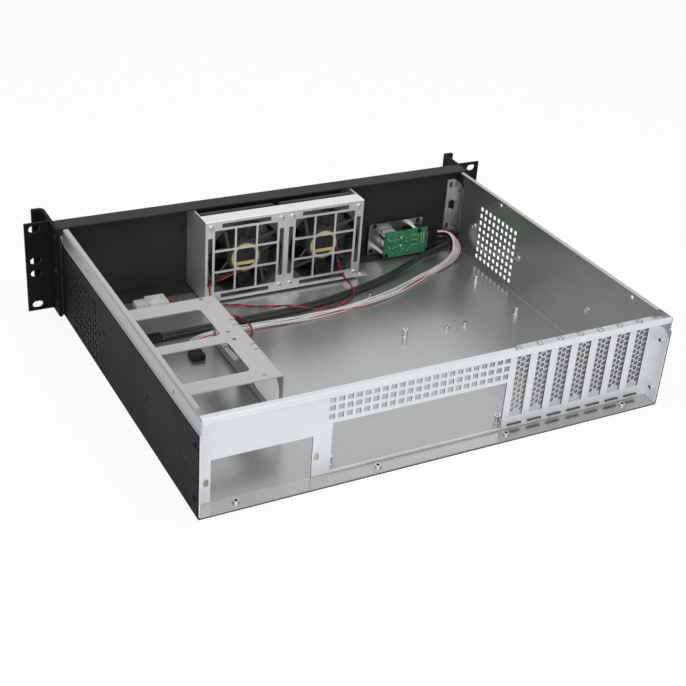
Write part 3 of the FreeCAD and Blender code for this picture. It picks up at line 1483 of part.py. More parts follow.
def end_plug(name, kind, front=None):
    """A block on the floor, from the five sizes of one kind of plug."""
    right = f"{kind}_right"
    front = front or f"{kind}_front"
    keep(box(name, right, f"{right}+{kind}_long", front, f"{front}+{kind}_wide",
             FLOOR, f"{FLOOR}+{kind}_high"), name)


def leads():
    lead("usb_lead_1", USB_LEAD_1, "usb_lead_radius")
    lead("usb_lead_2", USB_LEAD_2, "usb_lead_radius")
    lead("front_ribbon", RIBBON, "ribbon_radius")
    lead("fan_lead_1", FAN_LEAD_1, "fan_lead_radius")
    lead("fan_lead_2", FAN_LEAD_2, "fan_lead_radius")
    end_plug("usb_plug_1", "usb_plug")
    end_plug("usb_plug_2", "usb_plug", "usb_plug_front+usb_plug_pitch")
    end_plug("ribbon_plug", "ribbon_plug")
    end_plug("fan_plug_1", "fan_plug")
    end_plug("fan_plug_2", "tag_plug")


# Build every piece

chassis_tub()
rear_panel()
for cover_index in range(int(num("slot_count"))):
    slot_cover(cover_index)
front_panel()
for ear_side in SIDES:
    rack_ear(ear_side)
    corner_bracket(ear_side)
fan_cage()
for fan_number in FANS:
    fan_frame(fan_number)
    fan_rotor(fan_number)
    fan_label(fan_number)
drive_bracket()
board_plate()
control_board()
usb_port(0)
usb_port(1)
push_button("power_button", "power_height", "power_radius", "power_switch")
push_button("reset_button", "reset_height", "reset_radius", "reset_switch")
indicator_lights()
hex_rods("plate_spacers", PLATE_HOLES, "0", "plate_set", "screw_head")
hex_rods("board_spacers", BOARD_HOLES, PLATE_REAR, "board_set", "screw_head")
board_standoffs()
floor_studs()
all_screws()
header_pieces()
leads()
doc.recompute()

# Check every object and every cut before anything is written

SMALLEST_CUT = 0.001
for item in doc.Objects:
    if "Invalid" in item.State or "Error" in item.State:
        raise RuntimeError(f"{item.Name} failed: {item.State}")
for item in doc.Objects:
    if item.TypeId == "PartDesign::Pocket":
        before = item.BaseFeature.Shape.Volume
        if item.Shape.Volume > before - SMALLEST_CUT:
            raise RuntimeError(f"{item.Name} cuts nothing")
for item in nodes:
    if item.Shape.isNull() or not item.Shape.isValid():
        raise RuntimeError(f"{item.Label} has no sound shape")

os.makedirs("parts", exist_ok=True)
for item in nodes:
    item.Shape.exportStep(f"parts/{item.Label}.step")
print(len(nodes), "pieces")
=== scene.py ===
import math
import random

import bmesh
import bpy
from mathutils import Matrix, Vector


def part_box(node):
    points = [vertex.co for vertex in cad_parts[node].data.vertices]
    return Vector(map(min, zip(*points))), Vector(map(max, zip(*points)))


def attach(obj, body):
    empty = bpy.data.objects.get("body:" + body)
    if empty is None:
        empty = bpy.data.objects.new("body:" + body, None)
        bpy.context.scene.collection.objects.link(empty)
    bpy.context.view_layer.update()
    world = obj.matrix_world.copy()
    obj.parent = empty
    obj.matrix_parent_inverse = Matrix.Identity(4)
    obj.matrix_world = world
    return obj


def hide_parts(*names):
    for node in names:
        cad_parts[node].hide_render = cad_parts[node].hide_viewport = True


# Open rackmount case on a white table, seen from above its rear left corner.
# Places are millimetres in the case's datum frame, as a sheet metal drawing gives them, and at() turns
# them into metres in the model's frame.

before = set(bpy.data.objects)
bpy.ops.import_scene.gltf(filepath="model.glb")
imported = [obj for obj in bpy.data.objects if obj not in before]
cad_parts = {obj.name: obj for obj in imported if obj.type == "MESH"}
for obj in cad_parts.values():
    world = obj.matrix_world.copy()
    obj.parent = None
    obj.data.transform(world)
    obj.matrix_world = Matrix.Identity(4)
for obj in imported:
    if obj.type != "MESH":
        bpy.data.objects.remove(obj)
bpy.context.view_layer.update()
CASE = "case"
MM = 0.001
DATUM_SHIFT = 158.35


def at(across, along, up):
    return Vector((across * MM, (along - DATUM_SHIFT) * MM, up * MM))


# Sizes of the case that the finishes and pieces below are placed by

FLOOR = 1.0
WALL_IN = 212.9
WALL_OUT = 213.9
BEND_MIDDLE = 211.9
BEND_RADIUS = 2.0
COAT_TOP = 74.0
COAT_SKIN = 0.94
COAT_LINE = 213.0
FAN_CENTRES = (44.6, -38.3)
FAN_HEIGHT = 44.7
REAR_FACE = 334.3
SHEET = 1.0
SHELF_TOP = 81.7
FOOT_TOP = 2.4
CUT_INSET = 0.02
SLOT_FIRST = -73.0
SLOT_PITCH = 20.32
SLOT_COUNT = 7

# Node trees: small helpers


def math_node(nodes, links, operation, first, second=None):
    """A math node whose inputs are sockets or numbers; gives its output socket."""
    node = nodes.new("ShaderNodeMath")
    node.operation = operation
    for index, value in enumerate((first, second)):
        if value is None:
            continue
        if isinstance(value, (int, float)):
            node.inputs[index].default_value = value
        else:
            links.new(value, node.inputs[index])
    return node.outputs[0]


def new_group(name, inputs, outputs):
    """A shader group with named float or vector inputs, each with its default, and named float outputs."""
    tree = bpy.data.node_groups.new(name, "ShaderNodeTree")
    for label, kind, default in inputs:
        socket = tree.interface.new_socket(label, in_out="INPUT", socket_type=kind)
        if default is not None:
            socket.default_value = default
    for label, kind in outputs:
        tree.interface.new_socket(label, in_out="OUTPUT", socket_type=kind)
    nodes = tree.nodes
    return tree, nodes, tree.links, nodes.new("NodeGroupInput"), nodes.new("NodeGroupOutput")


FLOAT = "NodeSocketFloat"
VECTOR = "NodeSocketVector"


def add_noise(nodes, links, vector, scale, detail, distortion=0.0):
    """A noise texture on a vector at a scale socket; gives its value."""
    noise = nodes.new("ShaderNodeTexNoise")
    noise.inputs["Detail"].default_value = detail
    noise.inputs["Distortion"].default_value = distortion
    links.new(vector, noise.inputs["Vector"])
    links.new(scale, noise.inputs["Scale"])
    return noise.outputs["Fac"]


def rolled_sheet_group():
    """The fine streaks and cloudy patches of rolled and zinc plated sheet."""
    tree, nodes, links, enter, leave = new_group(
        "rolled_sheet",
        [("Vector", VECTOR, None), ("Grain", FLOAT, 260.0), ("Stretch", FLOAT, 14.0), ("Cloud", FLOAT, 9.0)],
        [("Streaks", FLOAT), ("Clouds", FLOAT)],
    )
    stretch = nodes.new("ShaderNodeCombineXYZ")
    stretch.inputs["X"].default_value = 1.0
    links.new(math_node(nodes, links, "DIVIDE", 1.0, enter.outputs["Stretch"]), stretch.inputs["Y"])
    stretch.inputs["Z"].default_value = 1.0
    drawn = nodes.new("ShaderNodeVectorMath")
    drawn.operation = "MULTIPLY"
    links.new(enter.outputs["Vector"], drawn.inputs[0])
    links.new(stretch.outputs[0], drawn.inputs[1])
    streaks = add_noise(nodes, links, drawn.outputs[0], enter.outputs["Grain"], 3.0)
    clouds = add_noise(nodes, links, enter.outputs["Vector"], enter.outputs["Cloud"], 4.0, 0.6)
    links.new(streaks, leave.inputs["Streaks"])
    links.new(clouds, leave.inputs["Clouds"])
    return tree


def orange_peel_group():
    """The pebbled skin of powder coat or of a mould's spark finish."""
    tree, nodes, links, enter, leave = new_group(
        "orange_peel",
        [("Vector", VECTOR, None), ("Pebble", FLOAT, 1400.0), ("Cloud", FLOAT, 14.0)],
        [("Height", FLOAT), ("Clouds", FLOAT)],
    )
    pebble = add_noise(nodes, links, enter.outputs["Vector"], enter.outputs["Pebble"], 1.5)
    clouds = add_noise(nodes, links, enter.outputs["Vector"], enter.outputs["Cloud"], 3.0)
    links.new(pebble, leave.inputs["Height"])
    links.new(clouds, leave.inputs["Clouds"])
    return tree


ROLLED_SHEET = rolled_sheet_group()
ORANGE_PEEL = orange_peel_group()


# Materials

class Finish:
    """One material with its shader, its Object coordinates and the helpers that its recipe needs."""

    def __init__(self, name, metallic=0.0):
        self.material = bpy.data.materials.new(name)
        self.material.use_nodes = True
        self.nodes = self.material.node_tree.nodes
        self.links = self.material.node_tree.links
        self.shader = self.nodes["Principled BSDF"]
        self.shader.inputs["Metallic"].default_value = metallic
        self.place = self.nodes.new("ShaderNodeTexCoord").outputs["Object"]

    def group(self, tree, **values):
        node = self.nodes.new("ShaderNodeGroup")
        node.node_tree = tree
        self.links.new(self.place, node.inputs["Vector"])
        for label, value in values.items():
            node.inputs[label].default_value = value
        return node

    def math(self, operation, first, second=None):
        return math_node(self.nodes, self.links, operation, first, second)

    def range(self, value, low, high):
        """Spread a noise value of about 0.3 to 0.7 between two numbers."""
        node = self.nodes.new("ShaderNodeMapRange")
        node.inputs["From Min"].default_value = 0.3
        node.inputs["From Max"].default_value = 0.7
        node.inputs["To Min"].default_value = low
        node.inputs["To Max"].default_value = high
        self.links.new(value, node.inputs["Value"])
        return node.outputs["Result"]

    def mix(self, mask, first, second):
        """Mix two colours, each a socket or three numbers, by a mask."""
        node = self.nodes.new("ShaderNodeMix")
        node.data_type = "RGBA"
        self.links.new(mask, node.inputs["Factor"])
        for label, colour in (("A", first), ("B", second)):
            socket = [item for item in node.inputs if item.name == label and item.type == "RGBA"][0]
            if isinstance(colour, tuple):
                socket.default_value = (*colour, 1.0)
            else:
                self.links.new(colour, socket)
        return [item for item in node.outputs if item.type == "RGBA"][0]

    def mix_value(self, mask, first, second):
        """Mix two values by a mask: first where it is 0, second where it is 1."""
        rest = self.math("SUBTRACT", 1.0, mask)
        return self.math("ADD", self.math("MULTIPLY", first, rest), self.math("MULTIPLY", second, mask))

    def sheet_tones(self, sheet, streaks):
        """The rolled sheet's streaks and clouds in one value, with the streaks' share of it."""
        return self.math("ADD", self.math("MULTIPLY", sheet.outputs["Streaks"], streaks),
                         self.math("MULTIPLY", sheet.outputs["Clouds"], 1 - streaks))

    def distance(self, first, second):
        squares = [self.math("MULTIPLY", part, part) for part in (first, second)]
        return self.math("SQRT", self.math("ADD", *squares))

    def all_of(self, first, *rest):
        """A mask that is 1 where all the given masks are."""
        for mask in rest:
            first = self.math("MULTIPLY", first, mask)
        return first

    def axes(self, vector):
        split = self.nodes.new("ShaderNodeSeparateXYZ")
        self.links.new(vector, split.inputs[0])
        return [split.outputs[axis] for axis in "XYZ"]

    def wear(self, value, socket):
        self.links.new(value, self.shader.inputs[socket])

    def bump(self, height, strength, depth):
        node = self.nodes.new("ShaderNodeBump")
        node.inputs["Strength"].default_value = strength
        node.inputs["Distance"].default_value = depth
        self.links.new(height, node.inputs["Height"])
        self.links.new(node.outputs["Normal"], self.shader.inputs["Normal"])


def zinc(name, tone, warmth=0.0, metallic=1.0, rough=0.3, stretch=14.0, contrast=0.10):
    """Bright zinc plated sheet: streaked along its rolling direction and a little cloudy."""
    finish = Finish(name, metallic)
    sheet = finish.group(ROLLED_SHEET, Stretch=stretch)
    light = tuple(min(1.0, tone * (1 + contrast + tint)) for tint in (warmth, 0.0, -warmth))
    dark = tuple(tone * (1 - contrast + tint) for tint in (warmth, 0.0, -warmth))
    blend = finish.sheet_tones(sheet, 0.35)
    finish.wear(finish.mix(finish.range(blend, 0.0, 1.0), dark, light), "Base Color")
    finish.wear(finish.range(sheet.outputs["Clouds"], rough * 0.8, rough * 1.25), "Roughness")
    finish.bump(sheet.outputs["Streaks"], 0.12, 0.0001)
    return finish.material


def powder(name, tone, rough=0.48):
    """Fine textured black powder coat."""
    finish = Finish(name)
    finish.shader.inputs["Specular IOR Level"].default_value = 0.06
    skin = finish.group(ORANGE_PEEL)
    dark = (tone * 0.85, tone * 0.85, tone * 0.88)
    light = (tone * 1.2, tone * 1.2, tone * 1.22)
    finish.wear(finish.mix(finish.range(skin.outputs["Clouds"], 0.0, 1.0), dark, light), "Base Color")
    finish.wear(finish.range(skin.outputs["Clouds"], rough * 0.9, rough * 1.1), "Roughness")
    finish.bump(skin.outputs["Height"], 0.25, 0.0001)
    return finish.material


def moulded(name, colour, rough=0.4, pebble=900.0, change=0.12):
    """Moulded plastic, lacquer or cable jacket with a faint skin and slight changes of tone."""
    finish = Finish(name)
    skin = finish.group(ORANGE_PEEL, Pebble=pebble, Cloud=60.0)
    dark = tuple(part * (1 - change) for part in colour)
    light = tuple(min(1.0, part * (1 + change)) for part in colour)
    finish.wear(finish.mix(finish.range(skin.outputs["Clouds"], 0.0, 1.0), dark, light), "Base Color")
    finish.wear(finish.range(skin.outputs["Clouds"], rough * 0.85, rough * 1.15), "Roughness")
    finish.bump(skin.outputs["Height"], 0.15, 0.00005)
    return finish.material


def coated_tub():
    """The tub's sheet: zinc inside and on its rim, black powder coat outside and under its floor."""
    finish = Finish("tub_sheet")
    finish.shader.inputs["Specular IOR Level"].default_value = 0.07
    across, _, up = finish.axes(finish.place)
    side = finish.math("ABSOLUTE", across)
    wall = finish.all_of(finish.math("GREATER_THAN", side, COAT_LINE * MM),
                         finish.math("LESS_THAN", up, COAT_TOP * MM))
    under = finish.math("LESS_THAN", up, COAT_SKIN * MM)
    out = finish.math("SUBTRACT", side, BEND_MIDDLE * MM)
    down = finish.math("SUBTRACT", BEND_RADIUS * MM, up)
    reach = finish.distance(out, down)
    bend = finish.all_of(finish.math("GREATER_THAN", reach, (BEND_RADIUS - COAT_SKIN) * MM),
                         finish.math("GREATER_THAN", out, 0.0), finish.math("GREATER_THAN", down, 0.0))
    black = finish.math("MAXIMUM", wall, finish.math("MAXIMUM", under, bend))
    sheet = finish.group(ROLLED_SHEET, Stretch=20.0, Cloud=6.0)
    skin = finish.group(ORANGE_PEEL)
    blend = finish.sheet_tones(sheet, 0.3)
    bare = finish.mix(finish.range(blend, 0.0, 1.0), (0.50, 0.50, 0.495), (0.59, 0.59, 0.585))
    coat = finish.mix(finish.range(skin.outputs["Clouds"], 0.0, 1.0),
                      (0.005, 0.005, 0.0055), (0.008, 0.008, 0.0085))
    finish.wear(finish.mix(black, bare, coat), "Base Color")
    finish.wear(finish.mix_value(black, 0.84, 0.0), "Metallic")
    bare_rough = finish.range(sheet.outputs["Clouds"], 0.24, 0.36)
    coat_rough = finish.range(skin.outputs["Clouds"], 0.42, 0.5)
    finish.wear(finish.mix_value(black, bare_rough, coat_rough), "Roughness")
    streaks = finish.math("MULTIPLY", sheet.outputs["Streaks"], 0.4)
    height = finish.mix_value(black, streaks, skin.outputs["Height"])
    finish.bump(height, 0.12, 0.0001)
    return finish.material


def rear_sheet():
    """The rear panel's zinc sheet: a lit pale tone painted on its upright, a shaded darker tone on its
    polished foot flange, and painted shade on its cut sides.
    """
    finish = Finish("rear_panel_zinc")
    _, along, up = finish.axes(finish.place)
    foot = finish.math("LESS_THAN", up, FOOT_TOP * MM)
    # Painted shade mask: the sheet's cut sides, facing sideways within its thickness, below the shelf.
    facing = finish.axes(finish.nodes.new("ShaderNodeNewGeometry").outputs["True Normal"])
    sideways = finish.math("GREATER_THAN", finish.math("ABSOLUTE", facing[0]), 0.7)
    before = finish.math("LESS_THAN", along, at(0.0, REAR_FACE - CUT_INSET, 0.0).y)
    behind = finish.math("GREATER_THAN", along, at(0.0, REAR_FACE - SHEET + CUT_INSET, 0.0).y)
    lower = finish.math("LESS_THAN", up, (SHELF_TOP - SHEET) * MM)
    cut = finish.all_of(sideways, lower, before, behind)
    sheet = finish.group(ROLLED_SHEET, Stretch=14.0, Cloud=12.0)
    share = finish.range(finish.sheet_tones(sheet, 0.35), 0.0, 1.0)
    # Painted light: the upright takes a lit pale tone and the foot flange a shaded darker tone of the same
    # sheet.
    upright = finish.mix(share, (0.79, 0.805, 0.83), (0.86, 0.875, 0.90))
    flat = finish.mix(share, (0.52, 0.51, 0.49), (0.64, 0.63, 0.60))
    faces = finish.mix(foot, upright, flat)
    # Painted shade: the cut sides are made near black.
    finish.wear(finish.mix(cut, faces, (0.10, 0.10, 0.10)), "Base Color")
    finish.wear(finish.mix_value(foot, 0.5, 0.9), "Metallic")
    rough = finish.range(sheet.outputs["Clouds"], 0.34, 0.46)
    finish.wear(finish.mix_value(foot, rough, finish.math("MULTIPLY", rough, 0.6)), "Roughness")
    finish.bump(sheet.outputs["Streaks"], 0.12, 0.0001)
    return finish.material


# Gold marks on a hub label, from its centre

RING_INNER = 11.7
RING_OUTER = 14.1
BAND_TOP = -4.2
BAND_FOOT = -7.6
BAND_REACH = 13.0


def fan_disc(index, centre):
    """A black hub label with a gold ring, and a gold band across its lower third."""
    finish = Finish(f"hub_label_{index}")
    across, _, up = finish.axes(finish.place)
    right = finish.math("SUBTRACT", across, centre * MM)
    up = finish.math("SUBTRACT", up, FAN_HEIGHT * MM)
    reach = finish.distance(right, up)
    ring = finish.all_of(finish.math("GREATER_THAN", reach, RING_INNER * MM),
                         finish.math("LESS_THAN", reach, RING_OUTER * MM))
    band = finish.all_of(finish.math("LESS_THAN", up, BAND_TOP * MM),
                         finish.math("GREATER_THAN", up, BAND_FOOT * MM),
                         finish.math("LESS_THAN", reach, BAND_REACH * MM))
    gold = finish.math("MAXIMUM", ring, band)
    skin = finish.group(ORANGE_PEEL, Pebble=500.0, Cloud=90.0)
    shade = finish.range(skin.outputs["Clouds"], 0.0, 1.0)
    yellow = finish.mix(shade, (0.52, 0.43, 0.16), (0.64, 0.54, 0.24))
    finish.wear(finish.mix(gold, (0.012, 0.012, 0.013), yellow), "Base Color")
    finish.wear(finish.range(skin.outputs["Clouds"], 0.22, 0.34), "Roughness")
    finish.bump(skin.outputs["Height"], 0.08, 0.00005)
    return finish.material


def green_board():
    """Solder mask with a faint pattern of copper tracks below it."""
    finish = Finish("green_board")
    finish.shader.inputs["Coat Weight"].default_value = 0.4
    tracks = finish.nodes.new("ShaderNodeTexVoronoi")
    tracks.distance = "MANHATTAN"
    tracks.feature = "DISTANCE_TO_EDGE"
    tracks.inputs["Scale"].default_value = 300.0
    finish.links.new(finish.place, tracks.inputs["Vector"])
    line = finish.math("LESS_THAN", tracks.outputs["Distance"], 0.12)
    skin = finish.group(ORANGE_PEEL, Pebble=700.0, Cloud=120.0)
    shade = finish.range(skin.outputs["Clouds"], 0.0, 1.0)
    base = finish.mix(shade, (0.012, 0.12, 0.045), (0.02, 0.17, 0.06))
    finish.wear(finish.mix(line, base, (0.03, 0.25, 0.10)), "Base Color")
    finish.wear(finish.range(skin.outputs["Clouds"], 0.25, 0.4), "Roughness")
    finish.bump(line, 0.2, 0.00005)
    return finish.material


def make_finishes():
    return {
        "tub": coated_tub(),
        "rear": rear_sheet(),
        "cover": zinc("slot_cover_zinc", 0.68, -0.01, metallic=0.75, rough=0.34, contrast=0.06),
        # Near black painted shade for the cut sides and hole walls of the covers.
        "cut_edge": zinc("cut_edge", 0.07, 0.0, metallic=0.2, rough=0.5),
        "cage": zinc("cage_zinc", 0.90, 0.0, metallic=0.78, rough=0.36, contrast=0.06),
        "bracket": zinc("bracket_zinc", 0.56, 0.03, metallic=0.45, rough=0.45, stretch=5.0, contrast=0.04),
        "plate": zinc("plate_zinc", 0.62, 0.01, metallic=0.95, rough=0.33),
        "bright": zinc("nickel_plate", 0.78, 0.01, rough=0.2, stretch=2.0, contrast=0.05),
        "panel": powder("panel_coat", 0.036, 0.36),
        "ear": powder("ear_coat", 0.011, 0.45),
        "black_screw": powder("black_screw_coat", 0.02, 0.35),
        "fan": moulded("fan_plastic", (0.058, 0.058, 0.059), 0.36),
        "blade": moulded("blade_plastic", (0.062, 0.062, 0.063), 0.28),
        "black": moulded("black_nylon", (0.014, 0.014, 0.015), 0.42),
        "jacket": moulded("cable_jacket", (0.018, 0.018, 0.02), 0.36, 1800.0),
        "white_nylon": moulded("white_nylon", (0.70, 0.70, 0.68), 0.42, change=0.04),
        "white_wire": moulded("white_wire", (0.70, 0.70, 0.69), 0.38, change=0.05),
        "red_wire": moulded("red_wire", (0.50, 0.015, 0.02), 0.36),
        "black_wire": moulded("black_wire", (0.015, 0.015, 0.016), 0.36),
        "light_pipe": moulded("light_pipe", (0.72, 0.75, 0.76), 0.2, change=0.04),
        "board": green_board(),
        "solder": zinc("solder_joints", 0.85, 0.01, metallic=0.5, rough=0.35, stretch=1.0),
        "foam": moulded("filter_foam", (0.02, 0.02, 0.021), 0.9, 700.0, 0.4),
    }


FINISHES = make_finishes()

NODE_FINISHES = {
    "chassis_tub": "tub",
    "rear_panel": "rear",
    "front_panel": "panel",
    "ear_handle": "ear",
    "corner_bracket": "plate",
    "fan_cage": "cage",
    "fan_frame": "fan",
    "fan_rotor": "blade",
    "drive_bracket": "bracket",
    "board_plate": "plate",
    "control_board": "board",
    "usb_port": "bright",
    "power_button": "black",
    "reset_button": "black",
    "power_switch": "black",
    "reset_switch": "black",
    "indicator_lights": "light_pipe",
    "plate_spacers": "bright",
    "board_spacers": "bright",
    "board_standoffs": "bright",
    "floor_studs": "bright",
    "pin_header": "black",
    "slot_cover": "cover",
}


def dress(obj, material):
    obj.data.materials.clear()
    obj.data.materials.append(material)


def dress_nodes():
    for node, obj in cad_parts.items():
        for start, finish in NODE_FINISHES.items():
            if node.startswith(start):
                dress(obj, FINISHES[finish])
    for index, across in enumerate(FAN_CENTRES, 1):
        dress(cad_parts[f"fan_label_{index}"], fan_disc(index, across))


# Mesh helpers

def add_object(name, data):
    obj = bpy.data.objects.new(name, data)
    bpy.context.scene.collection.objects.link(obj)
    return obj


def plain_mesh(obj):
    """The evaluated mesh of an object, with its modifiers applied."""
    bpy.context.view_layer.update()
    graph = bpy.context.evaluated_depsgraph_get()
    solid = obj.evaluated_get(graph)
    return bpy.data.meshes.new_from_object(solid, preserve_all_data_layers=True, depsgraph=graph)


def settle(obj):
    """Swap an object for one that holds its finished mesh and no modifiers."""
    mesh = plain_mesh(obj)
    label = obj.name
    bpy.data.objects.remove(obj)
    mesh.name = label
    return add_object(label, mesh)


def smooth(obj, angle=35.0):
    mesh = obj.data
    mesh.shade_smooth()
    mesh.set_sharp_from_angle(angle=math.radians(angle))


def add_block(mesh, low, high, slot=0, bevel=0.0):
    """Add a box between two corners to a mesh being built, with its edges bevelled."""
    middle = (low + high) / 2
    size = high - low
    place = Matrix.Translation(middle) @ Matrix.Diagonal((*size, 1.0))
    made = bmesh.ops.create_cube(mesh, size=1.0, matrix=place)
    faces = {face for vert in made["verts"] for face in vert.link_faces}
    for face in faces:
        face.material_index = slot
    if bevel:
        edges = list({edge for vert in made["verts"] for edge in vert.link_edges})
        bmesh.ops.bevel(mesh, geom=edges, offset=bevel, segments=2, affect="EDGES", material=slot)


def make_piece(name, mesh, finishes=()):
    """An object from a mesh that is done, with its finishes in the order of its face slots."""
    data = bpy.data.meshes.new(name)
    mesh.to_mesh(data)
    mesh.free()
    for finish in finishes:
        data.materials.append(FINISHES[finish])
    return add_object(name, data)


def carry(obj, slot, *nodes):
    """A piece rides on the case and may stand for CAD nodes, which it hides; its slot is not used."""
    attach(obj, CASE)
    if nodes:
        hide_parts(*nodes)
    return obj


# Geometry node trees

def tree_input(tree, label, kind, default=None):
    socket = tree.interface.new_socket(label, in_out="INPUT", socket_type=kind)
    if default is not None:
        socket.default_value = default
    return socket


def start_tree(name):
    tree = bpy.data.node_groups.new(name, "GeometryNodeTree")
    tree.is_modifier = True
    tree.interface.new_socket("Geometry", in_out="INPUT", socket_type="NodeSocketGeometry")
    tree.interface.new_socket("Geometry", in_out="OUTPUT", socket_type="NodeSocketGeometry")
    return tree


def end_tree(tree, enter, geometry):
    """Close a tree with its copies made real and its material set."""
    real = tree.nodes.new("GeometryNodeRealizeInstances")
    tree.links.new(geometry, real.inputs[0])
    paint = tree.nodes.new("GeometryNodeSetMaterial")
    tree.links.new(real.outputs[0], paint.inputs["Geometry"])
    tree.links.new(enter.outputs["Finish"], paint.inputs["Material"])
    leave = tree.nodes.new("NodeGroupOutput")
    tree.links.new(paint.outputs[0], leave.inputs[0])


def copies_tree():
    """Copies of one fastener on every point, facing one way, each turned about its own axis by chance."""
    tree = start_tree("fasteners_on_points")
    tree_input(tree, "Fastener", "NodeSocketObject")
    tree_input(tree, "Facing", "NodeSocketVector", (0.0, 0.0, 1.0))
    tree_input(tree, "Seed", "NodeSocketInt", 3)
    tree_input(tree, "Finish", "NodeSocketMaterial")
    nodes, links = tree.nodes, tree.links
    enter = nodes.new("NodeGroupInput")
    source = nodes.new("GeometryNodeObjectInfo")
    links.new(enter.outputs["Fastener"], source.inputs["Object"])
    face = nodes.new("FunctionNodeAlignRotationToVector")
    face.axis = "Z"
    links.new(enter.outputs["Facing"], face.inputs["Vector"])
    spin = nodes.new("FunctionNodeRandomValue")
    spin.data_type = "FLOAT"
    floats = [socket for socket in spin.inputs if socket.type == "VALUE"]
    floats[1].default_value = 2 * math.pi
    links.new(enter.outputs["Seed"], spin.inputs["Seed"])
    twist = nodes.new("FunctionNodeAxisAngleToRotation")
    twist.inputs["Axis"].default_value = (0.0, 0.0, 1.0)
    links.new([socket for socket in spin.outputs if socket.type == "VALUE"][0], twist.inputs["Angle"])
    turn = nodes.new("FunctionNodeRotateRotation")
    turn.rotation_space = "LOCAL"
    links.new(face.outputs[0], turn.inputs["Rotation"])
    links.new(twist.outputs[0], turn.inputs["Rotate By"])
    place = nodes.new("GeometryNodeInstanceOnPoints")
    links.new(enter.outputs["Geometry"], place.inputs["Points"])
    links.new(source.outputs["Geometry"], place.inputs["Instance"])
    links.new(turn.outputs[0], place.inputs["Rotation"])
    end_tree(tree, enter, place.outputs[0])
    return tree


def perforate_tree():
    """Round holes along Y, cut through a sheet at every point of another object."""
    tree = start_tree("round_perforations")
    tree_input(tree, "Holes", "NodeSocketObject")
    tree_input(tree, "Radius", "NodeSocketFloat", 0.002)
    tree_input(tree, "Depth", "NodeSocketFloat", 0.006)
    tree_input(tree, "Sides", "NodeSocketInt", 14)
    tree_input(tree, "Finish", "NodeSocketMaterial")
    nodes, links = tree.nodes, tree.links
    enter = nodes.new("NodeGroupInput")
    spots = nodes.new("GeometryNodeObjectInfo")
    links.new(enter.outputs["Holes"], spots.inputs["Object"])
    punch = nodes.new("GeometryNodeMeshCylinder")
    links.new(enter.outputs["Sides"], punch.inputs["Vertices"])
    links.new(enter.outputs["Radius"], punch.inputs["Radius"])
    links.new(enter.outputs["Depth"], punch.inputs["Depth"])
    place = nodes.new("GeometryNodeInstanceOnPoints")
    place.inputs["Rotation"].default_value = (math.pi / 2, 0.0, 0.0)
    links.new(spots.outputs["Geometry"], place.inputs["Points"])
    links.new(punch.outputs["Mesh"], place.inputs["Instance"])
    real = nodes.new("GeometryNodeRealizeInstances")
    links.new(place.outputs[0], real.inputs[0])
    cut = nodes.new("GeometryNodeMeshBoolean")
    cut.operation = "DIFFERENCE"
    links.new(enter.outputs["Geometry"], cut.inputs["Mesh 1"])
    links.new(real.outputs[0], cut.inputs["Mesh 2"])
    end_tree(tree, enter, cut.outputs["Mesh"])
    return tree


def run_tree(obj, tree, **values):
    """Run a tree on an object with named inputs and keep the result as a plain mesh."""
    modifier = obj.modifiers.new("tree", "NODES")
    modifier.node_group = tree
    for item in tree.interface.items_tree:
        if item.in_out == "INPUT" and item.name in values:
            modifier[item.identifier] = values[item.name]
    return settle(obj)


def points_object(name, places):
    data = bpy.data.meshes.new(name)
    data.from_pydata([tuple(place) for place in places], [], [])
    return add_object(name, data)


COPIES = copies_tree()
PERFORATE = perforate_tree()


# Fasteners

FASTENER_SIDES = 20
SUNK = -0.05


def add_rings(mesh, rings, sides, closed=False):
    """Rings about Z from pairs of radius and height, each joined to the next, and the last to the first."""
    turns = [2 * math.pi * index / sides for index in range(sides)]
    circle = [(math.cos(turn), math.sin(turn)) for turn in turns]
    loops = [[mesh.verts.new((radius * x, radius * y, height)) for x, y in circle]
             for radius, height in rings]
    nexts = loops[1:] + loops[:1] if closed else loops[1:]
    for low, high in zip(loops, nexts):
        for index in range(sides):
            after = (index + 1) % sides
            mesh.faces.new((low[index], low[after], high[after], high[index]))
    return loops


def turned_profile(name, rings, sides):
    """A closed turned shape about Z, from pairs of radius and height from its bottom to its top."""
    mesh = bmesh.new()
    loops = add_rings(mesh, [(radius * MM, height * MM) for radius, height in rings], sides)
    mesh.faces.new(list(reversed(loops[0])))
    mesh.faces.new(loops[-1])
    return make_piece(name, mesh)


def cut_with(obj, cutter):
    modifier = obj.modifiers.new("cut", "BOOLEAN")
    modifier.operation = "DIFFERENCE"
    modifier.solver = "EXACT"
    modifier.object = cutter
    result = settle(obj)
    bpy.data.objects.remove(cutter)
    return result


def pan_head(name, radius, height):
    """A cross recessed pan head that stands on Z 0."""
    rings = [(radius, SUNK), (radius, 0.35 * height), (0.86 * radius, 0.78 * height),
             (0.55 * radius, 0.97 * height), (0.2 * radius, height)]
    head = turned_profile(name, rings, FASTENER_SIDES)
    arm = 0.55 * radius * MM
    slim = 0.13 * radius * MM
    low = 0.4 * height * MM
    high = 1.4 * height * MM
    for across, along in ((arm, slim), (slim, arm)):
        mesh = bmesh.new()
        add_block(mesh, Vector((-across, -along, low)), Vector((across, along, high)))
        head = cut_with(head, make_piece("cross", mesh))
    return head


def press_nut(name, radius, bore, height):
    """A round clinch nut: a collar with an open bore."""
    rings = [(bore, 0.1), (bore, height), (0.88 * radius, height), (radius, 0.8 * height), (radius, SUNK),
             (bore, SUNK)]
    mesh = bmesh.new()
    add_rings(mesh, [(reach * MM, up * MM) for reach, up in rings], FASTENER_SIDES, closed=True)
    bmesh.ops.recalc_face_normals(mesh, faces=mesh.faces)
    return make_piece(name, mesh)


def place_fasteners(name, source, places, facing, finish, slot, seed, nodes=()):
    points = points_object(name, places)
    piece = run_tree(points, COPIES, Fastener=source, Facing=facing, Seed=seed, Finish=FINISHES[finish])
    piece.name = name
    smooth(piece)
    return carry(piece, slot, *nodes)


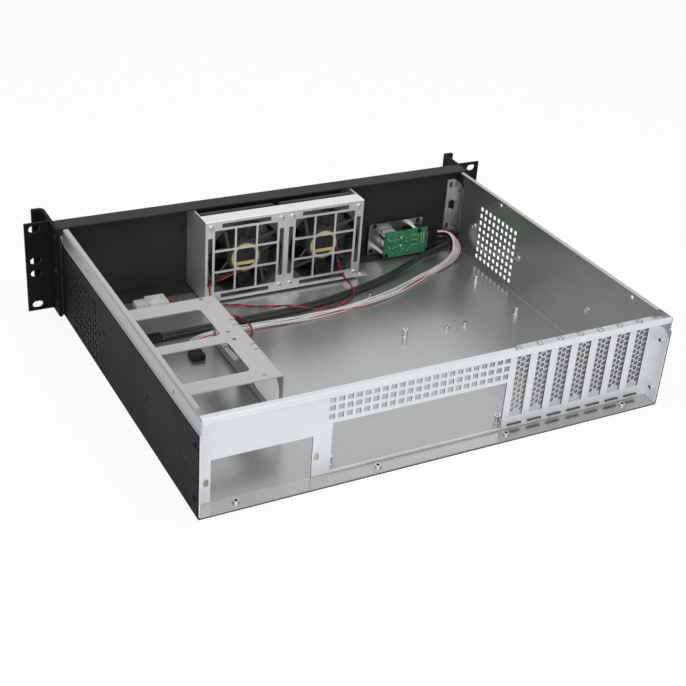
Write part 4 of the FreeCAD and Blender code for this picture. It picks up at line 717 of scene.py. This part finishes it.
SLIDE_ROWS = (46.4, 126.15, 239.65, 319.4)
SLIDE_HEIGHT = 38.0
REAR_SCREW_ROW = 340.5
REAR_SCREW_FIRST = 180.2
REAR_SCREW_PITCH = 120.93
EAR_SCREW_ROW = 15.8
EAR_SCREW_HEIGHTS = (13.6, 46.3, 79.9)
LEG_OUT = 218.1
CAGE_REAR = 46.5
FAN_HOLE_REACH = 35.75
SLOT_SCREW_SIDE = 9.5
SLOT_SCREW_REACH = 3.6
BRACKET_SCREW_ROWS = (138.0, 243.5)
BRACKET_SCREW_HEIGHT = 45.0
FOOT_SCREW_ROWS = (130.0, 246.0)
FOOT_SCREW_SIDE = 100.5
CAGE_FOOT_SIDES = (92.5, -85.8)
CAGE_FOOT_ROW = 37.65
BOARD_REAR = 24.3
PLATE_REAR = 6.5
POST_COLUMNS = (92.88, -64.6, -189.06)
POST_ROWS = (167.2, 322.14)
POST_FRONT_ROW = 94.81
POST_PROFILE = ((2.9, 0.0), (2.9, 0.8), (2.2, 1.1), (2.2, 6.2), (2.9, 6.5), (2.9, 7.7), (2.7, 7.95),
                (1.5, 7.95), (1.4, 6.4))
STUD_SPOTS = ((-110.3, 167.2), (-130.6, 167.2), (-72.5, 84.6))
THREAD_PROFILE = ((1.48, SUNK), (1.48, 0.9), (1.1, 1.2))
REAR_SIDE_HEIGHTS = (14.2, 61.3)
BOARD_SCREWS = ((-160.6, 31.3), (-123.5, 8.3))
PLATE_SCREWS = ((-117.6, 34.4), (-168.9, 34.4), (-115.4, 7.2), (-171.1, 25.7))


def all_fasteners():
    small = pan_head("small_pan_head", 2.8, 1.6)
    tiny = pan_head("tiny_pan_head", 2.3, 1.2)
    nut = press_nut("slide_press_nut", 3.4, 2.0, 1.3)
    edge_nut = press_nut("edge_nut", 2.9, 1.5, 1.7)
    thread = turned_profile("thread_end", THREAD_PROFILE, 14)
    post = turned_profile("standoff", POST_PROFILE, 18)
    stud = press_nut("floor_stud", 2.5, 1.4, 3.0)

    def bright(name, source, places, facing, seed, nodes=()):
        place_fasteners(name, source, places, facing, "bright", "bright_metal", seed, nodes)

    def black(name, source, places, facing, seed):
        place_fasteners(name, source, places, facing, "black_screw", "black_plastic", seed)

    backward, upward = (0, 1, 0), (0, 0, 1)
    fans = [at(centre + a * FAN_HOLE_REACH, CAGE_REAR, FAN_HEIGHT + b * FAN_HOLE_REACH)
            for centre in FAN_CENTRES for a in (-1, 1) for b in (-1, 1)]
    bright("fan_screw_heads", small, fans, backward, 5, ["fan_screws"])
    shelf = [at(SLOT_FIRST + SLOT_SCREW_SIDE - index * SLOT_PITCH, REAR_FACE + SLOT_SCREW_REACH,
                SHELF_TOP + SHEET) for index in range(SLOT_COUNT)]
    bright("slot_screw_heads", small, shelf, upward, 7, ["slot_cover_screws"])
    foot = [at(REAR_SCREW_FIRST - index * REAR_SCREW_PITCH, REAR_SCREW_ROW, FLOOR + SHEET)
            for index in range(4)]
    bright("rear_foot_nuts", edge_nut, foot, upward, 9)
    black("rear_foot_threads", thread, foot, upward, 9)
    for sign, side in ((1, "left"), (-1, "right")):
        inward, outward = (-sign, 0, 0), (sign, 0, 0)
        nuts = [at(sign * WALL_IN, row, SLIDE_HEIGHT) for row in SLIDE_ROWS]
        bright(f"slide_nuts_{side}", nut, nuts, inward, 11)
        rear = [at(sign * (WALL_IN - SHEET), REAR_SCREW_ROW, height) for height in REAR_SIDE_HEIGHTS]
        bright(f"rear_side_nuts_{side}", edge_nut, rear, inward, 13)
        black(f"rear_side_threads_{side}", thread, rear, inward, 13)
        outside = [at(sign * WALL_OUT, REAR_SCREW_ROW, height) for height in REAR_SIDE_HEIGHTS]
        black(f"rear_side_screws_{side}", tiny, outside, outward, 15)
        ear = [at(sign * LEG_OUT, EAR_SCREW_ROW, height) for height in EAR_SCREW_HEIGHTS]
        black(f"ear_screws_{side}", small, ear, outward, 17)
    wall = [at(WALL_IN - SHEET, row, BRACKET_SCREW_HEIGHT) for row in BRACKET_SCREW_ROWS]
    bright("bracket_wall_screws", small, wall, (-1, 0, 0), 19)
    feet = [at(FOOT_SCREW_SIDE, row, FLOOR + SHEET) for row in FOOT_SCREW_ROWS]
    feet += [at(side, CAGE_FOOT_ROW, FLOOR + SHEET) for side in CAGE_FOOT_SIDES]
    bright("foot_screws", small, feet, upward, 21)
    black("board_screws", tiny, [at(across, BOARD_REAR, up) for across, up in BOARD_SCREWS], backward, 23)
    black("plate_screws", tiny, [at(across, PLATE_REAR, up) for across, up in PLATE_SCREWS], backward, 25)
    posts = [at(across, row, FLOOR) for across in POST_COLUMNS for row in POST_ROWS]
    posts.append(at(POST_COLUMNS[2], POST_FRONT_ROW, FLOOR))
    bright("standoff_posts", post, posts, upward, 27, ["board_standoffs"])
    studs = [at(*spot, FLOOR) for spot in STUD_SPOTS]
    bright("floor_nuts", stud, studs, upward, 29, ["floor_studs"])
    for source in (small, tiny, nut, edge_nut, thread, post, stud):
        bpy.data.objects.remove(source)


# Perforated slot covers

HOLE_SIDES = 14
HOLE_PITCH = 5.0
HOLE_RADIUS = 2.0
HOLE_LOW = 20.5
HOLE_ROWS = 11


def hole_places():
    """Centres of the staggered holes in the first slot's cover: the middle column has one less."""
    column_step = HOLE_PITCH * math.sin(math.radians(60))
    places = []
    for column in (-1, 0, 1):
        rows = HOLE_ROWS if column else HOLE_ROWS - 1
        shift = 0.0 if column else HOLE_PITCH / 2
        for row in range(rows):
            places.append(at(SLOT_FIRST + column * column_step, REAR_FACE - 1.5 * SHEET,
                             HOLE_LOW + shift + row * HOLE_PITCH))
    return places


def slot_covers():
    """The first cover is perforated, its cut sides and hole walls get painted shade, and the others are its
    copies.
    """
    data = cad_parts["slot_cover_1"].data.copy()
    mesh = bmesh.new()
    mesh.from_mesh(data)
    bmesh.ops.remove_doubles(mesh, verts=mesh.verts, dist=0.000002)
    mesh.to_mesh(data)
    mesh.free()
    spots = points_object("hole_spots", hole_places())
    first = run_tree(add_object("first_cover", data), PERFORATE, Holes=spots, Radius=HOLE_RADIUS * MM,
                     Depth=3 * SHEET * MM, Sides=HOLE_SIDES, Finish=FINISHES["cover"])
    bpy.data.objects.remove(spots)
    first.data.materials.append(FINISHES["cut_edge"])
    # Painted shade: the cover's sideways faces below the shelf, its cut sides and hole walls, take the near
    # black finish.
    for face in first.data.polygons:
        if abs(face.normal.y) < 0.5 and face.center.z < (SHELF_TOP - 2 * SHEET) * MM:
            face.material_index = 1
    for index in range(SLOT_COUNT):
        sheet = first.data.copy()
        sheet.transform(Matrix.Translation((-index * SLOT_PITCH * MM, 0.0, 0.0)))
        cover = add_object(f"perforated_cover_{index + 1}", sheet)
        smooth(cover)
        carry(cover, "zinc_steel", f"slot_cover_{index + 1}")
    bpy.data.objects.remove(first)


# Plugs

PLUG_INSET = Vector((0.4, 0.4, 0.35)) * MM
PLUG_BEVEL = 0.4
GRIP_WIDTH = 0.8
MOUTH_DEPTH = 0.6


def plug(name, node, finish, slot, ribs, axis, wires):
    """A crimp housing: a bevelled block with grip ribs along an axis and wire mouths at its low end."""
    low, high = [Vector(corner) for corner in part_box(node)]
    mesh = bmesh.new()
    add_block(mesh, low + Vector((PLUG_INSET.x, PLUG_INSET.y, 0.0)), high - PLUG_INSET, 0, PLUG_BEVEL * MM)
    across = 1 - axis
    span = high[axis] - low[axis]
    for rib in range(ribs):
        start = low.copy()
        end = high.copy()
        start[axis] = low[axis] + span * (0.25 + 0.5 * rib / max(1, ribs - 1)) - GRIP_WIDTH / 2 * MM
        end[axis] = start[axis] + GRIP_WIDTH * MM
        add_block(mesh, start, end, 0, GRIP_WIDTH / 4 * MM)
    width = high[across] - low[across]
    for wire in range(wires):
        centre = low[across] + width * (wire + 0.5) / wires
        start = low.copy()
        end = high.copy()
        start[across] = centre - 0.25 * width / wires
        end[across] = centre + 0.25 * width / wires
        start.z = low.z + 0.35 * (high.z - low.z)
        end.z = low.z + 0.65 * (high.z - low.z)
        start[axis] = low[axis]
        end[axis] = low[axis] + MOUTH_DEPTH * MM
        add_block(mesh, start, end, 1)
    return carry(make_piece(name, mesh, (finish, "bright")), slot, node)


SOCKET_SHARE = 0.62
SOCKET_HEIGHT = 7.2
NECK_INSET = 2.8
LATCH_INSET = 6.0
COLLARS = 5
COLLAR_PITCH = 1.8


def white_connector():
    """The white crimp housing at the end of a fan's lead: a wide socket, a slim ribbed neck and a latch."""
    low, high = [Vector(corner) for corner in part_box("fan_plug_2")]
    step = low.x + SOCKET_SHARE * (high.x - low.x)
    mesh = bmesh.new()
    add_block(mesh, low, Vector((step, high.y, low.z + SOCKET_HEIGHT * MM)), 0, 0.6 * MM)
    add_block(mesh, Vector((step - 0.4 * MM, low.y + NECK_INSET * MM, low.z + 0.6 * MM)),
              Vector((high.x, high.y - NECK_INSET * MM, low.z + (SOCKET_HEIGHT - 1.0) * MM)), 0, 0.5 * MM)
    add_block(mesh, Vector((low.x + 4.0 * MM, low.y + LATCH_INSET * MM, low.z + (SOCKET_HEIGHT - 0.4) * MM)),
              Vector((step - 3.0 * MM, high.y - LATCH_INSET * MM, high.z)), 0, 0.4 * MM)
    for collar in range(COLLARS):
        start = Vector((step + (1.6 + collar * COLLAR_PITCH) * MM, low.y + (NECK_INSET - 0.4) * MM,
                        low.z + 1.4 * MM))
        end = Vector((start.x + GRIP_WIDTH * MM, high.y - (NECK_INSET - 0.4) * MM,
                      low.z + (SOCKET_HEIGHT - 0.5) * MM))
        add_block(mesh, start, end, 0, GRIP_WIDTH / 4 * MM)
    return carry(make_piece("fan_plug_housing_2", mesh, ("white_nylon",)), "white_plastic", "fan_plug_2")


HOUSING_HEIGHT = 5.5
HOUSING_RIBS = 4
HOUSING_RIB_FIRST = 1.4
HOUSING_RIB_PITCH = 1.8
HOUSING_RIB_WIDTH = 0.7
HOUSING_RIB_INSET = 0.6


def header_housing(index):
    """One of the three ribbed housings on the pin header, counted from the lowest."""
    low, high = [Vector(corner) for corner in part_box("header_plugs")]
    pitch = (high.z - low.z - HOUSING_HEIGHT * MM) / 2
    base = low + Vector((0.0, 0.0, index * pitch))
    top = Vector((high.x, high.y, base.z + HOUSING_HEIGHT * MM))
    inset = HOUSING_RIB_INSET * MM
    mesh = bmesh.new()
    add_block(mesh, base, top, 0, 0.3 * MM)
    for rib in range(HOUSING_RIBS):
        start = Vector((base.x + (HOUSING_RIB_FIRST + rib * HOUSING_RIB_PITCH) * MM, base.y, base.z + inset))
        end = Vector((start.x + HOUSING_RIB_WIDTH * MM, top.y, top.z - inset))
        add_block(mesh, start, end, 0, 0.15 * MM)
    return carry(make_piece(f"header_housing_{index + 1}", mesh, ("black",)), "black_plastic", "header_plugs")


HEADER_PINS = 8
PIN_COLUMNS = (0.3, 0.7)
PIN_HALF = 0.3
PIN_ROOT = 0.2
PIN_REACH = 0.7


def header_pins():
    """The bright ends of the pin header's pins on its rear face."""
    low, high = [Vector(corner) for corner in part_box("pin_header")]
    mesh = bmesh.new()
    for column in PIN_COLUMNS:
        for pin in range(HEADER_PINS):
            spot = Vector((low.x + column * (high.x - low.x), high.y,
                           low.z + (pin + 0.5) * (high.z - low.z) / HEADER_PINS))
            add_block(mesh, spot - Vector((PIN_HALF, PIN_ROOT, PIN_HALF)) * MM,
                      spot + Vector((PIN_HALF, PIN_REACH, PIN_HALF)) * MM)
    carry(make_piece("header_pins", mesh, ("solder",)), "bright_metal")


# Leads: each follows the smooth line through its route's points

USB_LEAD_1 = [
    (-184.5, 19.8, 12.2), (-196.2, 20.2, 12.6), (-196.0, 35.4, 11.6), (-178.5, 34.8, 10.4),
    (-146.0, 41.3, 8.0), (-109.5, 57.6, 4.4), (-60.6, 72.2, 3.4), (-3.9, 85.4, 3.3),
    (44.4, 86.7, 3.4), (95.6, 88.3, 3.3), (146.0, 90.6, 3.4),
]
USB_LEAD_2 = [
    (-184.5, 19.8, 18.3), (-194.2, 20.2, 18.6), (-194.0, 34.6, 17.4), (-177.5, 36.0, 15.2),
    (-147.2, 46.0, 11.0), (-110.2, 63.0, 5.6), (-60.6, 77.4, 3.4), (-3.9, 90.6, 3.3),
    (44.4, 91.9, 3.4), (95.6, 93.5, 3.3), (146.0, 95.8, 3.4),
]
RIBBON = [
    (-184.5, 19.8, 24.4), (-194.8, 20.6, 24.8), (-201.6, 29.0, 20.4), (-201.4, 39.0, 9.6),
    (-190.0, 46.8, 3.7), (-166.0, 58.6, 2.9), (-130.0, 73.4, 2.7), (-91.0, 91.8, 2.7),
    (-47.0, 101.0, 2.7), (10.0, 104.6, 2.7), (62.0, 103.0, 2.7), (96.0, 100.4, 2.7),
    (118.0, 104.0, 2.9), (128.6, 115.0, 3.4), (129.0, 127.0, 3.7),
]
FAN_LEAD_1 = [
    (50.0, 44.25, 29.6), (79.4, 44.3, 22.3), (81.5, 46.6, 21.4), (82.6, 51.0, 19.8),
    (88.4, 64.0, 10.4), (82.4, 77.0, 7.4), (72.0, 88.0, 8.6), (65.6, 103.0, 8.6),
    (66.4, 116.0, 5.0), (73.0, 123.4, 3.8), (82.0, 127.0, 4.2),
]
FAN_LEAD_2 = [
    (-53.4, 44.25, 39.3), (-60.8, 44.3, 9.8), (-61.4, 46.6, 7.6), (-61.6, 51.0, 6.8),
    (-59.8, 65.0, 7.9), (-56.4, 80.5, 8.3), (-50.0, 88.0, 3.8), (-40.0, 90.8, 2.5),
    (-20.0, 94.4, 2.8), (-3.0, 97.0, 6.6), (8.6, 94.2, 8.7), (19.6, 86.4, 8.7),
    (28.6, 77.6, 4.8), (38.0, 70.4, 2.5), (62.0, 56.4, 2.5), (92.0, 48.6, 2.5),
    (105.5, 41.2, 3.2), (118.8, 31.4, 5.5),
]


def route_curve(name, route, radius=0.0):
    """A smooth curve with the route's points as its control points."""
    data = bpy.data.curves.new(name, "CURVE")
    data.dimensions = "3D"
    data.resolution_u = 10
    data.bevel_depth = radius * MM
    data.bevel_resolution = 5
    data.use_fill_caps = radius > 0
    spline = data.splines.new("NURBS")
    spline.points.add(len(route) - 1)
    for point, place in zip(spline.points, route):
        point.co = (*at(*place), 1.0)
    spline.order_u = 3
    spline.use_endpoint_u = True
    return add_object(name, data)


def line_of(route):
    """Points along the route's smooth line."""
    guide = route_curve("guide", route)
    mesh = plain_mesh(guide)
    points = [vert.co.copy() for vert in mesh.vertices]
    bpy.data.objects.remove(guide)
    return points


def length_of(points):
    return sum((b - a).length for a, b in zip(points, points[1:]))


def sweep(mesh, points, radius, slot, sides=8):
    """Add a round wire along points to a mesh being built."""
    loops = []
    normal = Vector((0.0, 0.0, 1.0))
    for index, here in enumerate(points):
        before = points[max(0, index - 1)]
        after = points[min(len(points) - 1, index + 1)]
        along = (after - before).normalized()
        normal = normal - along * normal.dot(along)
        if normal.length < 0.01:
            normal = along.orthogonal()
        normal.normalize()
        side = along.cross(normal)
        loop = []
        for corner in range(sides):
            angle = 2 * math.pi * corner / sides
            loop.append(mesh.verts.new(here + (side * math.cos(angle) + normal * math.sin(angle)) * radius))
        loops.append(loop)
    for low, high in zip(loops, loops[1:]):
        for corner in range(sides):
            after = (corner + 1) % sides
            face = mesh.faces.new((low[corner], low[after], high[after], high[corner]))
            face.material_index = slot
    mesh.faces.new(list(reversed(loops[0]))).material_index = slot
    mesh.faces.new(loops[-1]).material_index = slot


def wire_set(name, route, offsets, radius, finishes):
    """Wires side by side along one route: offsets gives each wire's sideways and upward shift there."""
    points = line_of(route)
    whole = length_of(points)
    mesh = bmesh.new()
    for wire in range(len(finishes)):
        run = 0.0
        line = []
        for index, here in enumerate(points):
            before = points[max(0, index - 1)]
            after = points[min(len(points) - 1, index + 1)]
            run += (here - before).length
            along = (after - before).normalized()
            side = along.cross(Vector((0.0, 0.0, 1.0))).normalized()
            rise = side.cross(along)
            out, up = offsets(wire, run / whole, run)
            line.append(here + side * out + rise * up)
        sweep(mesh, line, radius * MM, wire)
    bmesh.ops.recalc_face_normals(mesh, faces=mesh.faces)
    piece = make_piece(name, mesh, finishes)
    smooth(piece, 60.0)
    return piece, points


PAIR_WIRES = ("red_wire", "black_wire")
PAIR_WIRE_RADIUS = 0.58
PAIR_REACH = 0.62
PAIR_LAY = 26.0


def twisted_pair(wire, share, run):
    """Two wires that turn about each other, at any share of the lead."""
    angle = 2 * math.pi * run / (PAIR_LAY * MM) + wire * math.pi
    return PAIR_REACH * MM * math.cos(angle), PAIR_REACH * MM * math.sin(angle)


RIBBON_WIRES = ("white_wire", "red_wire") + ("white_wire",) * 7
RIBBON_WIRE_RADIUS = 0.45
WIRE_STEP = 1.04
SPREAD_AT_ENDS = 0.45
SPREAD_RISE = 1.5
SLACK = 0.7
LIFT = 0.6
CHANCE = random.Random(11)
WIRE_WAVES = [(CHANCE.uniform(0.0, 2 * math.pi), CHANCE.uniform(0.07, 0.15)) for _ in RIBBON_WIRES]


def ribbon_spread(wire, share, run):
    """Wires fan out on the floor and draw together at both ends, with a little slack in each."""
    spread = min(1.0, SPREAD_AT_ENDS + SPREAD_RISE * math.sin(math.pi * share))
    middle = (len(RIBBON_WIRES) - 1) / 2
    start, wave = WIRE_WAVES[wire]
    turn = 2 * math.pi * run / wave + start
    slack = SLACK * MM * math.sin(turn) * math.sin(math.pi * share)
    return (wire - middle) * WIRE_STEP * MM * spread + slack, LIFT * MM * math.cos(turn)


JACKET_RADIUS = 2.25


def all_leads():
    exit_1 = at(*USB_LEAD_1[0])
    exit_2 = at(*USB_LEAD_2[0])
    plug_1 = plug("usb_plug_housing_1", "usb_plug_1", "black", "black_plastic", 3, 0, 4)
    plug_2 = plug("usb_plug_housing_2", "usb_plug_2", "black", "black_plastic", 3, 0, 4)
    starts = [header_housing(index) for index in range(3)]
    for name, route, where, ends in (("usb_lead_1", USB_LEAD_1, exit_1, [starts[0], plug_1]),
                                     ("usb_lead_2", USB_LEAD_2, exit_2, [starts[1], plug_2])):
        whole = length_of(line_of(route))
        lead = route_curve(f"{name}_jacket", route, JACKET_RADIUS)
        lead.data.materials.append(FINISHES["jacket"])
        carry(lead, "black_cable", name)
    housing = plug("ribbon_plug_housing", "ribbon_plug", "black", "black_plastic", 2, 1, 5)
    ribbon, path = wire_set("ribbon_wires", RIBBON, ribbon_spread, RIBBON_WIRE_RADIUS, RIBBON_WIRES)
    carry(ribbon, "white_cable", "front_ribbon")
    housing = plug("fan_plug_housing_1", "fan_plug_1", "black", "black_plastic", 2, 0, 3)
    tag = white_connector()
    for number, route, end in ((1, FAN_LEAD_1, housing), (2, FAN_LEAD_2, tag)):
        pair, path = wire_set(f"fan_wires_{number}", route, twisted_pair, PAIR_WIRE_RADIUS, PAIR_WIRES)
        carry(pair, "red_cable", f"fan_lead_{number}")


# Solder joints on the control board's rear face, as places across and up

SMALL_JOINTS = [
    (-126.0, 25.9), (-127.5, 24.3), (-130.9, 23.6), (-133.6, 24.6), (-136.5, 24.9),
    (-126.0, 18.0), (-127.5, 16.4), (-130.9, 15.7), (-133.6, 16.7), (-136.5, 17.0),
    (-146.6, 25.0), (-146.6, 21.3), (-143.0, 13.2), (-148.6, 11.0),
    (-153.8, 27.4), (-156.2, 27.4), (-158.9, 27.4), (-153.8, 21.7), (-156.2, 21.7),
    (-158.9, 21.7), (-153.8, 16.5), (-156.2, 16.5), (-158.9, 16.5),
    (-164.1, 27.7), (-166.8, 27.7), (-164.1, 25.6), (-166.8, 25.6), (-164.1, 23.5), (-166.8, 23.5),
    (-164.1, 21.4), (-166.8, 21.4), (-164.1, 19.4), (-166.8, 19.4), (-164.1, 17.3), (-166.8, 17.3),
]
LARGE_JOINTS = [(-139.9, 26.5), (-139.9, 17.5)]
SMALL_JOINT = 0.55
LARGE_JOINT = 1.15
JOINT_FLATNESS = 0.6


def solder_joints():
    """Domed joints where the ports, buttons and pins of the control board are soldered through it."""
    mesh = bmesh.new()
    flat = Matrix.Diagonal((1.0, JOINT_FLATNESS, 1.0, 1.0))
    for places, radius in ((SMALL_JOINTS, SMALL_JOINT), (LARGE_JOINTS, LARGE_JOINT)):
        for across, up in places:
            spot = Matrix.Translation(at(across, BOARD_REAR, up)) @ flat
            bmesh.ops.create_icosphere(mesh, subdivisions=2, radius=radius * MM, matrix=spot)
    joints = make_piece("solder_joints", mesh, ("solder",))
    smooth(joints, 80.0)
    carry(joints, "bright_metal")


# Dust filter behind the front panel's slots

FILTER_LOW = (-73.3, 0.1, 9.0)
FILTER_HIGH = (79.6, 3.1, 80.5)


def dust_filter():
    """A sheet of black foam that closes the slots to the eye, as the dark ground behind the fans shows."""
    mesh = bmesh.new()
    add_block(mesh, at(*FILTER_LOW), at(*FILTER_HIGH))
    carry(make_piece("dust_filter", mesh, ("foam",)), "black_plastic")


# Table, light and camera

TABLE_REACH = 40.0
TABLE_TOP = -0.0004
TABLE_GLOW = 0.92


def white_table():
    """A table that is nearly plain white to the camera, with a faint shadow of the case left on it."""
    data = bpy.data.meshes.new("table")
    corners = ((-1, -1), (1, -1), (1, 1), (-1, 1))
    data.from_pydata([(x * TABLE_REACH, y * TABLE_REACH, TABLE_TOP) for x, y in corners], [], [(0, 1, 2, 3)])
    table = add_object("table", data)
    material = bpy.data.materials.new("table_white")
    material.use_nodes = True
    nodes, links = material.node_tree.nodes, material.node_tree.links
    shader = nodes["Principled BSDF"]
    shader.inputs["Base Color"].default_value = (0.86, 0.86, 0.86, 1.0)
    shader.inputs["Roughness"].default_value = 0.9
    glow = nodes.new("ShaderNodeEmission")
    glow.inputs["Strength"].default_value = 1.0
    seen = nodes.new("ShaderNodeLightPath")
    direct = math_node(nodes, links, "MAXIMUM", seen.outputs["Is Camera Ray"],
                       seen.outputs["Is Transmission Ray"])
    share = math_node(nodes, links, "MULTIPLY", direct, TABLE_GLOW)
    blend = nodes.new("ShaderNodeMixShader")
    links.new(share, blend.inputs[0])
    links.new(shader.outputs[0], blend.inputs[1])
    links.new(glow.outputs[0], blend.inputs[2])
    links.new(blend.outputs[0], nodes["Material Output"].inputs["Surface"])
    data.materials.append(material)


def studio_world():
    """Soft light from all round, and plain white behind the table."""
    world = bpy.data.worlds.new("studio")
    bpy.context.scene.world = world
    world.use_nodes = True
    nodes, links = world.node_tree.nodes, world.node_tree.links
    soft = nodes["Background"]
    soft.inputs["Color"].default_value = (0.95, 0.97, 1.0, 1.0)
    soft.inputs["Strength"].default_value = 0.5
    white = nodes.new("ShaderNodeBackground")
    white.inputs["Color"].default_value = (1.0, 1.0, 1.0, 1.0)
    white.inputs["Strength"].default_value = 1.0
    seen = nodes.new("ShaderNodeLightPath")
    blend = nodes.new("ShaderNodeMixShader")
    links.new(seen.outputs["Is Camera Ray"], blend.inputs[0])
    links.new(soft.outputs[0], blend.inputs[1])
    links.new(white.outputs[0], blend.inputs[2])
    links.new(blend.outputs[0], nodes["World Output"].inputs["Surface"])


def soft_box(name, place, size, power, aim=(0.0, 0.0, 0.03)):
    data = bpy.data.lights.new(name, "AREA")
    data.shape = "RECTANGLE"
    data.size, data.size_y = size
    data.energy = power
    lamp = add_object(name, data)
    lamp.location = place
    lamp.rotation_euler = (Vector(aim) - Vector(place)).to_track_quat("-Z", "Y").to_euler()


def studio_lamps():
    soft_box("over_light", (0.1, 0.2, 1.7), (2.0, 1.6), 13.0)
    soft_box("rear_light", (0.7, 1.9, 1.0), (2.8, 1.7), 19.0)
    soft_box("front_light", (-0.99, -1.76, 1.17), (2.2, 0.9), 3.0)


CAMERA_PLACE = (0.49612, 0.87959, 0.58297)
CAMERA_TURN = 150.36
CAMERA_TILT = 29.87
CAMERA_ROLL = 4.45
CAMERA_LENS = 67.0


def photo_camera():
    """The photo's view: its place, the turn, tilt and roll of its axes, and its lens."""
    data = bpy.data.cameras.new("camera")
    data.lens = CAMERA_LENS
    data.sensor_width = 36.0
    data.clip_start = 0.02
    camera = add_object("camera", data)
    turn, tilt, roll = (math.radians(angle) for angle in (CAMERA_TURN, CAMERA_TILT, CAMERA_ROLL))
    ahead = Vector((-math.sin(turn) * math.cos(tilt), math.cos(turn) * math.cos(tilt), -math.sin(tilt)))
    level = ahead.cross(Vector((0.0, 0.0, 1.0))).normalized()
    upright = level.cross(ahead)
    right = level * math.cos(roll) + upright * math.sin(roll)
    up = upright * math.cos(roll) - level * math.sin(roll)
    axes = Matrix((right, up, -ahead)).transposed().to_4x4()
    camera.matrix_world = Matrix.Translation(CAMERA_PLACE) @ axes
    bpy.context.scene.camera = camera


# Build

photo_camera()
white_table()
studio_world()
studio_lamps()
dress_nodes()
all_leads()
header_pins()
slot_covers()
all_fasteners()
solder_joints()
dust_filter()

bpy.context.scene.view_settings.view_transform = "Standard"
